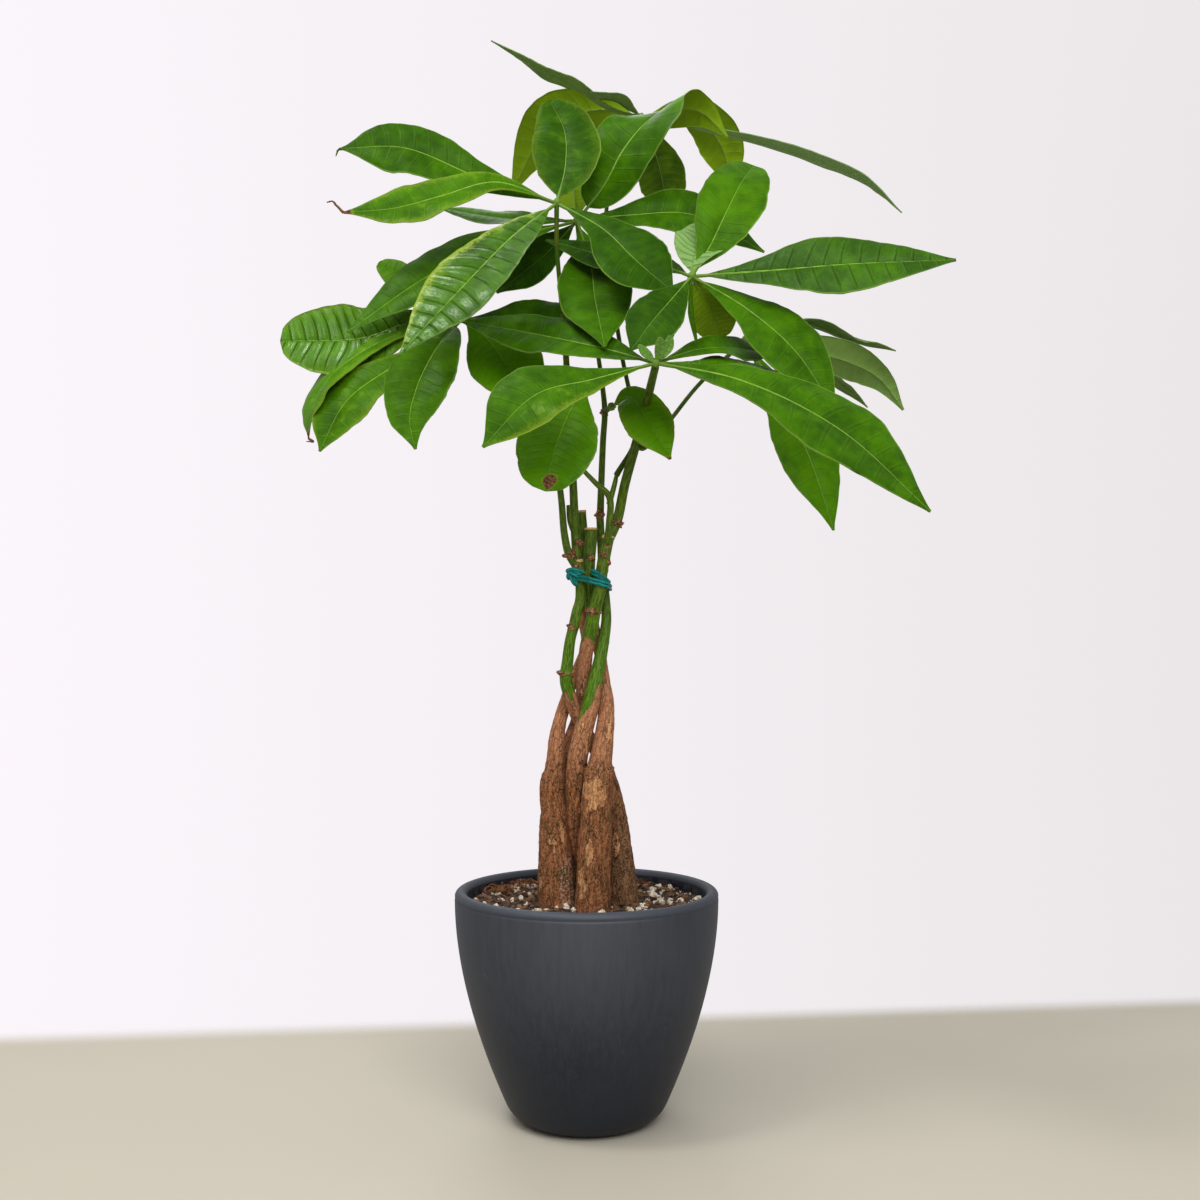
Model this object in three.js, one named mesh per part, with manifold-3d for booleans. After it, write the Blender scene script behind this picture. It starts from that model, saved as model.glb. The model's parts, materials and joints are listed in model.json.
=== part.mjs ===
// Potted money tree: five trunks braided in a charcoal pot, tied near their tops,
// with palmate leaves on green shoots. Millimetres, +Z up, front towards -Y,
// origin at the centre of the pot's underside.
import * as THREE from 'three';
import { mergeVertices } from 'three/addons/utils/BufferGeometryUtils.js';
import Module from 'manifold-3d';

const wasm = await Module();
wasm.setup();

// ---------------------------------------------------------------- driving dimensions

const CLEARANCE = 0.3;

const POT = {
  height: 138,
  rimRadius: 80,
  baseRadius: 32,
  baseRounding: 18.7,
  wallLean: THREE.MathUtils.degToRad(24.2),
  lowerPull: 0.51,
  upperPull: 0.21,
  lipThickness: 7.4,
  wallThickness: 5.5,
  floorThickness: 7,
  facets: 32,
  wallSteps: 7,
  lipSteps: 6,
  footSteps: 4,
};

const SOIL = {
  level: 129,
  wallTop: 125,
  rings: 4,
  relief: 1.1,
  reliefSpan: 7,
  chips: 16,
  chipLeast: 4,
  chipMost: 8,
  chipsFrom: 30,
  chipsTo: 64,
  seed: 11,
};

const BLADE = {
  thickness: 0.9,
  spacing: 19,
  fewestRows: 3,
  mostRows: 6,
  broad: 25,
  endCrowding: 0.08,
  stalkShare: 0.07,
  stalkHalfWidth: 0.9,
  widestShare: 0.58,
  baseSharpness: 0.82,
  gutter: 0.26,
  rollOff: 0.2,
  ripple: 0.07,
  ripplesAlong: 11,
  rippleShift: 2.5,
};

// How quickly a leaflet's end closes: pointed, rounded, or a folded young leaf
const TIP_SHARPNESS = { pointed: 1.3, blunt: 0.45, young: 0.8 };

const HUB_RADIUS = 2.6;
const PETIOLE_RADIUS = 1.4;
const PETIOLE_SIDES = 5;

const TRUNK_RINGS = 20;
const SHOOT_SIDES = 6;

const CORD_RADIUS = 0.9;
const CORD_SPACING = 1.05;
const CORD_SIDES = 5;

// Routes are lists of [x, y, z, radius], from the soil upwards. The shoots grow
// out of their trunk, and each scar is a [x, y, z, radius] swelling on it.
const TRUNKS = {
  trunk_back: {
    sides: 8,
    route: [
      [-10.5, 20, 105, 7.5], [-11.5, 19, 127, 7], [-13, 17, 158.5, 6], [-14, 15, 189.5, 5.3],
      [-13, 12, 216.5, 4.1], [-10.5, 10, 227, 3.9], [-6.5, 8, 238.5, 3.7], [-3.5, 5, 248.5, 3.8],
      [-2.5, 2, 260, 4.1], [-2, 0, 268, 4.3], [0, -4, 284.5, 4.4], [2.5, -7, 295.5, 4.3],
      [4.5, -9, 306.5, 4.1], [7.3, -10, 317, 3.8], [8.8, -10, 328.5, 3.7], [11.3, -9, 343.5, 3.8],
      [13.3, -8, 352, 3.6],
    ],
    shoots: [
      [
        [12, -8.5, 347, 3.1], [18.5, -6, 362, 3.1], [23, -10, 383, 2.9], [30, -20, 408.5, 2.8],
        [35.5, -38, 430, 2.6], [38.5, -74, 442.5, 2.2],
      ],
      [
        [12, -10, 344, 2.5], [13.5, -13, 358.5, 2.1], [13.5, -13, 375.5, 2], [5.5, -14, 383.5, 1.6],
        [-3.5, -16, 392.5, 1.3],
      ],
      [[13.5, -13, 371, 1.8], [17, -11, 384, 1.5], [18, -9, 389, 1.2]],
      [[29.5, -19, 406, 1.8], [33.5, -20, 404, 1.7], [38, -20.5, 407.5, 1.5]],
    ],
    scars: [[4, -10.5, 306, 3.6], [12.5, -11, 336, 2.2], [18.5, -7, 360, 3.6]],
  },
  trunk_centre: {
    sides: 9,
    route: [
      [-3, 4, 108.5, 7.5], [-4, 1, 142.5, 6.6], [-5.5, -5, 164.5, 6], [-7, -10, 186.5, 5.5],
      [-6.8, -12, 206, 5.8], [-5.3, -11.5, 219.5, 6.1], [-1.8, -9, 235, 5.8], [1.6, -8, 246, 5.3],
      [4, -7, 258.5, 4.8], [8, -4, 276.5, 3.9], [10.5, 0, 290, 3.5], [12, 4, 301, 3.1],
      [11.5, 6, 313.5, 2.9], [9.8, 6, 329, 2.7], [9, 5, 344.5, 2.5], [8.5, 4, 356.5, 2.4],
      [8, 3, 367, 2.3],
    ],
    shoots: [
      [
        [8.2, 3.3, 363, 2.3], [9, 2, 387.5, 2], [10, 0, 412, 1.9], [11, -2, 428.5, 1.8],
        [9.5, -3, 445, 1.5], [6.5, -4, 466, 1.3],
      ],
    ],
    scars: [[-3.5, -15, 215.5, 3], [8, 2, 366, 2.9], [10.5, -2, 428, 2.4]],
  },
  trunk_front: {
    sides: 10,
    route: [
      [3.5, -24, 114.5, 10.8], [3.5, -24, 132, 10.6], [4.5, -22, 161.5, 9.9], [6, -18, 193.5, 8.9],
      [7.5, -15, 210, 8], [8.5, -14, 217, 6.8], [10.5, -10, 231.5, 5.7], [11.8, -5, 243.5, 5],
      [11.7, -1, 252.5, 4.7], [10.6, 3, 261.5, 4], [9.2, 6.5, 273.5, 3.6], [7, 7, 286, 3.6],
      [4, 4, 298, 3.6], [2.5, 0.5, 310, 3.6], [1.5, -2, 322.5, 3.6], [1.5, -2, 338, 3.7],
      [2.5, -2, 350.5, 3.8], [2.5, -2, 357.5, 3.6],
    ],
    shoots: [],
    scars: [[3, -5, 339, 2.1]],
  },
  trunk_right: {
    sides: 9,
    route: [
      [24, 0, 109.5, 9.2], [23, 0, 127.5, 8.9], [21, 3, 153, 8], [18, 7, 181.5, 6.5],
      [13, 11, 203.5, 5.3], [7, 12, 219.5, 4.7], [1, 8, 229.5, 4.1], [-6, -1, 242.5, 4],
      [-10, -6, 254.5, 3.9], [-12.5, -9, 264.5, 3.9], [-11.5, -9, 277, 3.5], [-10, -9, 289, 3.2],
      [-8, -9, 297, 3.2], [-6, -8, 306, 3.2], [-4, -7, 313, 3.2], [-4, -7, 325.5, 3.2],
      [-6, -7, 337.5, 3.3],
    ],
    shoots: [
      [
        [-5.5, -7, 334, 3], [-7, -6, 353, 2.7], [-8.5, -5, 386.5, 2.4], [-11, -8, 423, 2.1],
        [-12.5, -12, 458.5, 1.9], [-14.5, -16, 486.5, 1.7],
      ],
      [
        [-6, -8, 333, 2.7], [-11, -10, 341.5, 2.5], [-13.5, -10, 352.5, 2.2], [-15.5, -8, 374, 2],
        [-19, -4, 399, 1.8], [-26, 2, 421.5, 1.5],
      ],
      [[-8, -5.5, 356, 2.2], [-10, -6.5, 362, 2], [-10.6, -6.5, 371, 1.9]],
    ],
    scars: [[-12.5, -9.5, 268, 4.2], [-8.5, -9.5, 296.5, 3.5], [-10.5, -10.5, 340, 3.1]],
  },
  trunk_left: {
    sides: 10,
    route: [
      [-14, -12, 112, 12], [-18, -10, 138.5, 11.5], [-19, -8, 162, 10], [-19.5, -6, 184, 8.4],
      [-20.5, -5, 200.5, 8], [-19.5, -4, 211, 6.1], [-18.5, -3, 222, 5.4], [-17.5, 0, 234.5, 4.4],
      [-13, 5, 251, 3.6], [-9, 9, 263, 3.5], [-3.5, 11, 275.5, 3.5], [0, 11.5, 286, 3.4],
      [-1.5, 9.5, 298, 3.3], [-2.5, 7.5, 313.5, 3.2], [-2.5, 8, 332, 3], [-2, 6, 351, 2.8],
      [-3, 5, 369, 2.4],
    ],
    shoots: [],
    scars: [],
  },
};

// The tie's two turns, the knot on its left and the short tail below the knot
const TIE = {
  longTurn: [
    [-8.7, -7, 327.7], [-7.4, -10.3, 327.3], [-4.5, -11.8, 326.5], [2, -13.9, 325], [8.2, -15.1, 323.3],
    [11.8, -13.6, 322.3], [13.4, -10, 321.8], [14.2, -2, 321.3], [14.6, 6, 321], [13.4, 9.6, 321.3],
    [10.6, 10.7, 322], [4, 12, 324], [-2.5, 12.5, 326], [-5.9, 11.2, 327], [-7.3, 7.8, 327.2],
    [-8.4, 0, 327.5],
  ],
  shortTurn: [[3.4, -9.8, 330.3], [8.6, -15.1, 327], [13.6, -10.2, 323.1], [8.6, -4.8, 328]],
  knot: [-9.3, -9.8, 328, 2.8],
  knotTop: [-6.4, -11.2, 329.6, 2],
  tail: [[-9.5, -10, 329, 1.5], [-10.8, -10.5, 325, 1.5], [-8.6, -11, 320.5, 1.3]],
};

// Each leaf has a hub, a stalk up to it, and leaflets. A leaflet's rib runs from the
// hub through the points given, its upper face looks along face at first and along
// tipFace at its end, and width is its greatest width. Where a leaflet differs from
// BLADE, widest is the share of its length at which it is widest, and base is how
// slowly it opens from its stalk.
const LEAVES = {
  leaf_upper_left: {
    hub: [-18, -30, 549],
    petiole: [[-14.5, -16, 486.5], [-16, -19, 500], [-18, -25, 525]],
    leaflets: [
      {
        rib: [[-64, -36, 562], [-107, -40, 578], [-144, -42, 577]], width: 37, widest: 0.64, base: 0.6,
        face: [0.05, -0.93, 0.35],
      },
      {
        rib: [[-53, -43, 557], [-85, -51, 546], [-111, -57, 537], [-139, -62, 533]], width: 31,
        face: [0.1, -0.85, 0.52],
      },
      {
        rib: [[-43, -56, 521], [-69, -80, 486], [-102, -98, 444]], width: 46, base: 0.7,
        face: [-0.25, -0.85, 0.45],
      },
      {
        rib: [[-13, -20, 575], [-14, -8, 601], [-23, 0, 622]], width: 42, widest: 0.45,
        face: [0, -0.9, 0.45], tip: 'blunt',
      },
      {
        rib: [[9, -46, 529], [29, -62, 505], [49, -68, 486]], width: 43, widest: 0.62,
        face: [0.15, -0.9, 0.35],
      },
    ],
  },
  leaf_right: {
    hub: [60, -62, 497],
    petiole: [[41, -66, 446], [48, -60, 462], [56, -60, 482]],
    leaflets: [
      { rib: [[48, -75, 481], [35, -85, 464], [24, -92, 448]], width: 31, face: [-0.2, -0.95, 0.1] },
      { rib: [[43, -43, 508], [11, -24, 519], [-25, -12, 532]], width: 29, face: [0, -0.75, 0.65] },
      {
        rib: [[71, -58, 516], [80, -54, 535], [90, -44, 556], [100, -26, 573]], width: 38,
        face: [0.1, -0.95, 0.1], tipFace: [0.4, -0.2, 0.9], tip: 'blunt',
      },
      { rib: [[62, -58, 510], [69, -48, 524], [79, -38, 537]], width: 34, face: [-0.15, -0.88, 0.42] },
      {
        rib: [[103, -74, 497], [145, -84, 498], [204, -90, 499]], width: 39, widest: 0.6, base: 0.75,
        face: [0, -0.9, 0.42],
      },
      { rib: [[90, -72, 476], [116, -84, 449], [137, -92, 413]], width: 41, face: [0.3, -0.88, 0.35] },
      { rib: [[71, -55, 480], [79, -40, 466]], width: 28, face: [0.1, 0.9, 0.2], tip: 'blunt' },
      { rib: [[59, -63, 480], [63, -62, 456]], width: 7, face: [0.9, -0.5, 0], tip: 'young' },
    ],
  },
  leaf_front: {
    hub: [38, -88, 442],
    petiole: [[38.5, -72, 442], [38.5, -80, 442.5]],
    leaflets: [
      {
        rib: [[3, -102, 430], [-27, -112, 420], [-55, -118, 391]], width: 43, widest: 0.66,
        face: [-0.1, -0.8, 0.55],
      },
      {
        rib: [[84, -104, 429], [134, -120, 400], [179, -130, 356]], width: 50, widest: 0.63, base: 0.65,
        face: [0.25, -0.75, 0.55],
      },
      { rib: [[7, -66, 455], [-33, -48, 467], [-75, -36, 477]], width: 36, face: [0, -0.75, 0.65] },
      { rib: [[63, -76, 452], [87, -64, 455], [110, -54, 452]], width: 28, face: [0, -0.6, 0.75] },
      { rib: [[63, -86, 442], [88, -78, 443], [115, -70, 438]], width: 24, face: [0, -0.4, 0.9] },
      { rib: [[33, -92, 446], [28, -96, 450]], width: 6, face: [0, -0.9, 0.4], tip: 'young' },
      { rib: [[40, -93, 448], [40, -98, 454]], width: 6, face: [0, -0.9, 0.1], tip: 'young' },
      { rib: [[44, -91, 449], [46, -94, 456]], width: 6, face: [0, -0.9, 0.1], tip: 'young' },
    ],
  },
  leaf_left: {
    hub: [-76, -8, 485],
    petiole: [[-26, 2, 421], [-41, 4, 446], [-60, 0, 470]],
    leaflets: [
      {
        rib: [[-105, -16, 481], [-135, -20, 470], [-183, -24, 467]], width: 47, widest: 0.72,
        face: [-0.1, -0.93, 0.3], tip: 'blunt',
      },
      {
        rib: [[-121, -24, 468], [-152, -32, 444], [-162, -36, 424], [-163, -38, 407]], width: 32,
        face: [-0.4, -0.8, 0.45], tipFace: [-0.9, -0.3, 0.3],
      },
      {
        rib: [[-110, -34, 453], [-139, -46, 428], [-153, -56, 397]], width: 38, widest: 0.66,
        face: [-0.3, -0.85, 0.45],
      },
      {
        rib: [[-89, -38, 459], [-98, -51, 435], [-101, -60, 415], [-97, -66, 397]], width: 39,
        widest: 0.42, face: [-0.1, -0.95, 0.3],
      },
      { rib: [[-61, -14, 472], [-46, -24, 450], [-33, -30, 425]], width: 46, face: [0.2, -0.95, 0.3] },
      { rib: [[-50, 0, 486], [-20, 4, 487], [9, 6, 484]], width: 34, face: [0, -0.8, 0.6] },
      { rib: [[-98, 14, 503], [-132, 28, 529]], width: 24, face: [0, -0.9, 0.4], tip: 'blunt' },
    ],
  },
  leaf_right_back: {
    hub: [105, 66, 488],
    petiole: [[38, -20.5, 407.5], [49, -4, 421], [71, 28, 451]],
    leaflets: [
      { rib: [[144, 82, 504], [180, 92, 494], [212, 96, 487]], width: 34, face: [0.2, -0.1, 0.97] },
      {
        rib: [[142, 70, 483], [177, 72, 474], [196, 71, 463], [211, 70, 442]], width: 28, widest: 0.45,
        face: [0.35, 0.75, 0.62],
      },
      { rib: [[128, 58, 446], [145, 46, 405], [158, 36, 359]], width: 43, face: [0.3, -0.9, 0.2] },
      { rib: [[146, 94, 485], [172, 108, 470], [196, 114, 451]], width: 26, face: [0.8, 0.1, 0.6] },
    ],
  },
  leaf_top: {
    hub: [36, 70, 639],
    petiole: [
      [18, -9, 389], [29, -6, 410], [27, -2, 436], [22, 4, 463], [16, 24, 511], [13, 50, 572],
      [24, 64, 614],
    ],
    leaflets: [
      {
        rib: [[13, 62, 642], [-6, 56, 652], [-31, 48, 662], [-62, 38, 676]], width: 27,
        face: [0, -0.18, 0.98],
      },
      { rib: [[21, 54, 644], [3, 36, 642]], width: 16, face: [-0.2, -0.3, 0.9] },
      { rib: [[6, 84, 649], [-27, 98, 641], [-53, 104, 597]], width: 40, face: [-0.5, 0.75, 0.45] },
      { rib: [[46, 90, 624], [53, 102, 603], [56, 108, 584]], width: 34, face: [0.2, 0.9, 0.3] },
      { rib: [[70, 80, 646], [92, 90, 627], [100, 94, 596]], width: 36, face: [0.6, 0.7, 0.4] },
      {
        rib: [[97, 58, 622], [142, 36, 600], [175, 18, 579], [196, 6, 555]], width: 28,
        face: [0.1, 0.02, 1],
      },
    ],
  },
  leaf_middle: {
    hub: [-6, 5, 549],
    petiole: [[6.5, -4, 466], [1, 2, 505], [-4, 4, 530]],
    leaflets: [
      {
        rib: [[11, 6, 572], [22, 4, 592], [36, 6, 610], [51, 16, 623], [72, 24, 625], [89, 20, 607]],
        width: 50, widest: 0.45, base: 0.5, face: [-0.1, -1, 0.15], tipFace: [-0.1, 0.5, 0.4],
      },
      { rib: [[28, 0, 551], [65, -4, 550], [109, -4, 527]], width: 38, face: [0, -0.8, 0.55] },
      { rib: [[2, -13, 518], [5, -41, 488], [10, -76, 453]], width: 44, face: [0, -0.8, 0.6] },
      { rib: [[-53, -10, 531], [-94, -24, 507], [-141, -36, 470]], width: 38, face: [-0.2, -0.85, 0.5] },
      { rib: [[-47, 6, 550], [-92, 14, 559]], width: 28, face: [0, -0.6, 0.85] },
      { rib: [[-26, 16, 531], [-57, 22, 508]], width: 28, face: [-0.2, -0.9, 0.3] },
      { rib: [[-8, 34, 574], [-10, 56, 605]], width: 24, face: [0, 0.9, 0.3] },
    ],
  },
  leaf_hanging: {
    hub: [1, -52, 439],
    petiole: [[-3.5, -16, 392.5], [-7, -34, 413]],
    leaflets: [
      {
        rib: [[-10, -60, 419], [-18, -70, 396], [-23, -78, 372]], width: 46, face: [-0.1, -0.95, 0.25],
        tip: 'blunt',
      },
    ],
  },
  leaf_small: {
    hub: [15, -14, 430],
    petiole: [[11, -3, 429]],
    leaflets: [
      {
        rib: [[25, -26, 434], [37, -44, 414], [48, -54, 393]], width: 29, widest: 0.6,
        face: [0.1, -0.95, 0.2],
      },
    ],
  },
};

// ---------------------------------------------------------------- materials

function finish(colour, roughness) {
  return new THREE.MeshStandardMaterial({ color: colour, roughness, metalness: 0 });
}

const potFinish = () => finish(0x3b3f47, 0.55);
const soilFinish = () => finish(0x3a2a20, 0.95);
const barkFinish = () => finish(0x8a5a3a, 0.85);
const leafFinish = () => finish(0x3f8020, 0.4);
const tieFinish = () => finish(0x127d78, 0.5);

// ---------------------------------------------------------------- solids

function vector([x, y, z]) {
  return new THREE.Vector3(x, y, z);
}

// A closed three.js geometry as a solid that can be cut and joined
function solid(geometry) {
  geometry.deleteAttribute('normal');
  geometry.deleteAttribute('uv');
  const merged = mergeVertices(geometry);
  return new wasm.Manifold(new wasm.Mesh({
    numProp: 3,
    vertProperties: Float32Array.from(merged.attributes.position.array),
    triVerts: Uint32Array.from(merged.index.array),
  }));
}

function join(solids) {
  return solids.reduce((whole, piece) => whole.add(piece));
}

function cut(whole, tools) {
  return tools.reduce((rest, tool) => rest.subtract(tool), whole);
}

function meshOf(name, whole, material) {
  const { vertProperties, triVerts } = whole.getMesh();
  const geometry = new THREE.BufferGeometry();
  geometry.setAttribute('position', new THREE.BufferAttribute(vertProperties, 3));
  geometry.setIndex(new THREE.BufferAttribute(triVerts, 1));
  geometry.computeVertexNormals();
  const mesh = new THREE.Mesh(geometry, material);
  mesh.name = name;
  return mesh;
}

// Steady numbers from 0 to 1 for what is scattered
function seededRandom(seed) {
  let state = seed;
  return () => {
    state = (state * 1664525 + 1013904223) % 4294967296;
    return state / 4294967296;
  };
}

// ---------------------------------------------------------------- pot and soil

function point2(r, z) {
  return new THREE.Vector2(r, z);
}

// The pot's outer wall, from the edge of its flat base up to the lip
function outerWall() {
  const turn = Math.PI / 2 - POT.wallLean;
  const foot = [];
  for (let i = 0; i <= POT.footSteps; i += 1) {
    const angle = (turn * i) / POT.footSteps;
    foot.push(point2(
      POT.baseRadius + POT.baseRounding * Math.sin(angle),
      POT.baseRounding * (1 - Math.cos(angle)),
    ));
  }
  const start = foot[POT.footSteps];
  const lipStart = POT.height - POT.lipThickness / 2;
  const rise = lipStart - start.y;
  const lean = point2(Math.sin(POT.wallLean), Math.cos(POT.wallLean));
  const wall = new THREE.CubicBezierCurve(
    start,
    start.clone().addScaledVector(lean, POT.lowerPull * rise),
    point2(POT.rimRadius, lipStart - POT.upperPull * rise),
    point2(POT.rimRadius, lipStart),
  );
  return [...foot, ...wall.getPoints(POT.wallSteps).slice(1)];
}

// The inside of the pot, from the middle of its floor up to the lip
function innerWall(gap) {
  const floor = POT.floorThickness + gap;
  const outer = outerWall().filter((p) => p.y > POT.floorThickness + POT.baseRounding / 2);
  const top = POT.rimRadius - POT.lipThickness - gap;
  const wall = outer.map((p) => point2(Math.min(p.x - POT.wallThickness - gap, top), p.y));
  return [point2(0, floor), point2(wall[0].x - 2 * POT.wallThickness, floor), ...wall];
}

function turned(profile, facets) {
  const geometry = new THREE.LatheGeometry(profile, facets);
  geometry.rotateX(Math.PI / 2);
  return geometry;
}

function makePot() {
  const lipRadius = POT.lipThickness / 2;
  const lipMiddle = point2(POT.rimRadius - lipRadius, POT.height - lipRadius);
  const lip = [];
  for (let i = 1; i < POT.lipSteps; i += 1) {
    const angle = (Math.PI * i) / POT.lipSteps;
    lip.push(point2(lipMiddle.x + lipRadius * Math.cos(angle), lipMiddle.y + lipRadius * Math.sin(angle)));
  }
  const profile = [point2(0, 0), ...outerWall(), ...lip, ...innerWall(0).reverse()];
  return solid(turned(profile, POT.facets));
}

function soilHeight(x, y) {
  const span = SOIL.reliefSpan;
  const broad = Math.sin((x + 2 * y) / (1.5 * span));
  const fine = Math.sin(x / span + 1) * Math.cos(y / span);
  return SOIL.level + SOIL.relief * (0.6 * broad + fine);
}

// The soil's body, dished to fill the pot, with its surface raised into a gentle relief
function soilBody() {
  const inside = innerWall(CLEARANCE).filter((p) => p.y < SOIL.wallTop);
  const edge = POT.rimRadius - POT.lipThickness - CLEARANCE;
  const profile = [inside[0], ...inside.filter((p, i) => i % 2 === 1), point2(edge, SOIL.level)];
  for (let ring = SOIL.rings - 1; ring >= 0; ring -= 1) {
    profile.push(point2((edge * ring) / SOIL.rings, SOIL.level));
  }
  const geometry = turned(profile, POT.facets);
  const { position } = geometry.attributes;
  for (let i = 0; i < position.count; i += 1) {
    const [x, y, z] = [position.getX(i), position.getY(i), position.getZ(i)];
    if (z > SOIL.wallTop) position.setZ(i, soilHeight(x, y));
  }
  return solid(geometry);
}

// Bark chips lying half sunk in the soil round the trunks
function soilChips() {
  const random = seededRandom(SOIL.seed);
  const chips = [];
  for (let i = 0; i < SOIL.chips; i += 1) {
    const angle = 2 * Math.PI * random();
    const radius = THREE.MathUtils.lerp(SOIL.chipsFrom, SOIL.chipsTo, Math.sqrt(random()));
    const size = THREE.MathUtils.lerp(SOIL.chipLeast, SOIL.chipMost, random());
    const chip = new THREE.BoxGeometry(size, size * (0.5 + 0.4 * random()), 0.6 * size);
    chip.rotateX(random() - 0.5);
    chip.rotateY(random() - 0.5);
    chip.rotateZ(Math.PI * random());
    const [x, y] = [radius * Math.cos(angle), radius * Math.sin(angle)];
    chip.translate(x, y, soilHeight(x, y) + 0.1 * size);
    chips.push(solid(chip));
  }
  return chips;
}

function makeSoil(holes) {
  return cut(join([soilBody(), ...soilChips()]), holes);
}

// ---------------------------------------------------------------- trunks, shoots and tie

// A tapered round limb along a route of [x, y, z, radius], swollen all over by grow
function limb(route, sides, rings, grow = 0) {
  const path = new THREE.CatmullRomCurve3(route.map(vector));
  const frames = path.computeFrenetFrames(rings);
  const geometry = new THREE.CylinderGeometry(1, 1, 1, sides, rings);
  const { position } = geometry.attributes;
  const spot = new THREE.Vector3();
  for (let i = 0; i < position.count; i += 1) {
    const across = position.getX(i);
    const back = position.getZ(i);
    const ring = Math.round((position.getY(i) + 0.5) * rings);
    const share = path.getUtoTmapping(ring / rings) * (route.length - 1);
    const below = Math.min(Math.floor(share), route.length - 2);
    const radius = THREE.MathUtils.lerp(route[below][3], route[below + 1][3], share - below) + grow;
    const tangent = frames.tangents[ring];
    const normal = frames.normals[ring];
    spot.copy(path.getPointAt(ring / rings));
    if (ring === 0) spot.addScaledVector(tangent, -grow);
    if (ring === rings) spot.addScaledVector(tangent, grow);
    spot.addScaledVector(normal, across * radius);
    spot.addScaledVector(normal.clone().cross(tangent), back * radius);
    position.setXYZ(i, spot.x, spot.y, spot.z);
  }
  return solid(geometry);
}

function ball([x, y, z, radius]) {
  const geometry = new THREE.OctahedronGeometry(radius, 1);
  geometry.translate(x, y, z);
  return solid(geometry);
}

function makeTrunk({ sides, route, shoots, scars }, grow = 0) {
  return join([
    limb(route, sides, TRUNK_RINGS, grow),
    ...shoots.map((shoot) => limb(shoot, SHOOT_SIDES, 2 * shoot.length - 2, grow)),
    ...scars.map(([x, y, z, radius]) => ball([x, y, z, radius + grow])),
  ]);
}

function cord(route) {
  const strands = [-CORD_SPACING, CORD_SPACING].map((shift) => {
    const path = new THREE.CatmullRomCurve3(route.map(([x, y, z]) => vector([x, y, z + shift])), true);
    return solid(new THREE.TubeGeometry(path, route.length + 6, CORD_RADIUS, CORD_SIDES, true));
  });
  return join(strands);
}

function makeTie(trunksWithGap) {
  const tie = join([
    cord(TIE.longTurn), cord(TIE.shortTurn), ball(TIE.knot), ball(TIE.knotTop),
    limb(TIE.tail, CORD_SIDES, TIE.tail.length),
  ]);
  return cut(tie, trunksWithGap);
}

// ---------------------------------------------------------------- leaves

// Half of a leaflet's width at a share of the way from the hub to its tip
function halfWidth(leaflet, share) {
  const { width, widest = BLADE.widestShare, base = BLADE.baseSharpness, tip = 'pointed' } = leaflet;
  const along = Math.max(share - BLADE.stalkShare, 0) / (1 - BLADE.stalkShare);
  const skew = Math.log(0.5) / Math.log(widest);
  const sharpness = THREE.MathUtils.lerp(base, TIP_SHARPNESS[tip], along);
  const swell = Math.sin(Math.PI * along ** skew) ** sharpness;
  return BLADE.stalkHalfWidth + (width / 2 - BLADE.stalkHalfWidth) * swell;
}

// A leaflet blade: a thin sheet bent along its rib, guttered and gently waved, with
// the same triangles on both faces
function blade(hub, leaflet) {
  const path = new THREE.CatmullRomCurve3([hub, ...leaflet.rib].map(vector));
  const face = vector(leaflet.face);
  const tipFace = vector(leaflet.tipFace ?? leaflet.face);
  const steps = Math.round(path.getLength() / BLADE.spacing) + (leaflet.tip === 'blunt' ? 1 : 0);
  const rows = THREE.MathUtils.clamp(steps, BLADE.fewestRows, BLADE.mostRows);
  const columns = leaflet.width < BLADE.broad ? 2 : 4;
  const sheet = new THREE.PlaneGeometry(2, 1, columns, rows);
  const grid = sheet.attributes.position;
  const upper = [];
  const lower = [];
  for (let i = 0; i < grid.count; i += 1) {
    const side = grid.getX(i);
    const row = 0.5 - grid.getY(i);
    const share = row - BLADE.endCrowding * Math.sin(2 * Math.PI * row);
    const tangent = path.getTangent(share);
    const normal = face.clone().lerp(tipFace, share);
    normal.addScaledVector(tangent, -normal.dot(tangent)).normalize();
    const across = normal.clone().cross(tangent);
    const half = halfWidth(leaflet, share);
    const wave = Math.sin(BLADE.ripplesAlong * share + BLADE.rippleShift * Math.sign(side));
    const ripple = BLADE.ripple * wave * side ** 2;
    const lift = half * (BLADE.gutter * Math.abs(side) - BLADE.rollOff * side ** 2 + ripple);
    const spot = path.getPoint(share);
    spot.addScaledVector(across, side * half);
    spot.addScaledVector(normal, lift);
    upper.push(...spot.clone().addScaledVector(normal, BLADE.thickness / 2).toArray());
    lower.push(...spot.clone().addScaledVector(normal, -BLADE.thickness / 2).toArray());
  }

  const faces = [...sheet.index.array];
  const count = grid.count;
  for (let i = 0; i < sheet.index.count; i += 3) {
    const [a, b, c] = sheet.index.array.slice(i, i + 3);
    faces.push(a + count, c + count, b + count);
  }
  const edge = sheetEdge(columns, rows);
  edge.forEach((from, i) => {
    const to = edge[(i + 1) % edge.length];
    faces.push(from, from + count, to + count, from, to + count, to);
  });
  const geometry = new THREE.BufferGeometry();
  geometry.setAttribute('position', new THREE.Float32BufferAttribute([...upper, ...lower], 3));
  geometry.setIndex(faces);
  return solid(geometry);
}

// The sheet's outer vertices in order around it
function sheetEdge(columns, rows) {
  const row = columns + 1;
  const edge = [];
  for (let i = 0; i < rows; i += 1) edge.push(i * row);
  for (let i = 0; i < columns; i += 1) edge.push(rows * row + i);
  for (let i = rows; i > 0; i -= 1) edge.push(i * row + columns);
  for (let i = columns; i > 0; i -= 1) edge.push(i);
  return edge;
}

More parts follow.
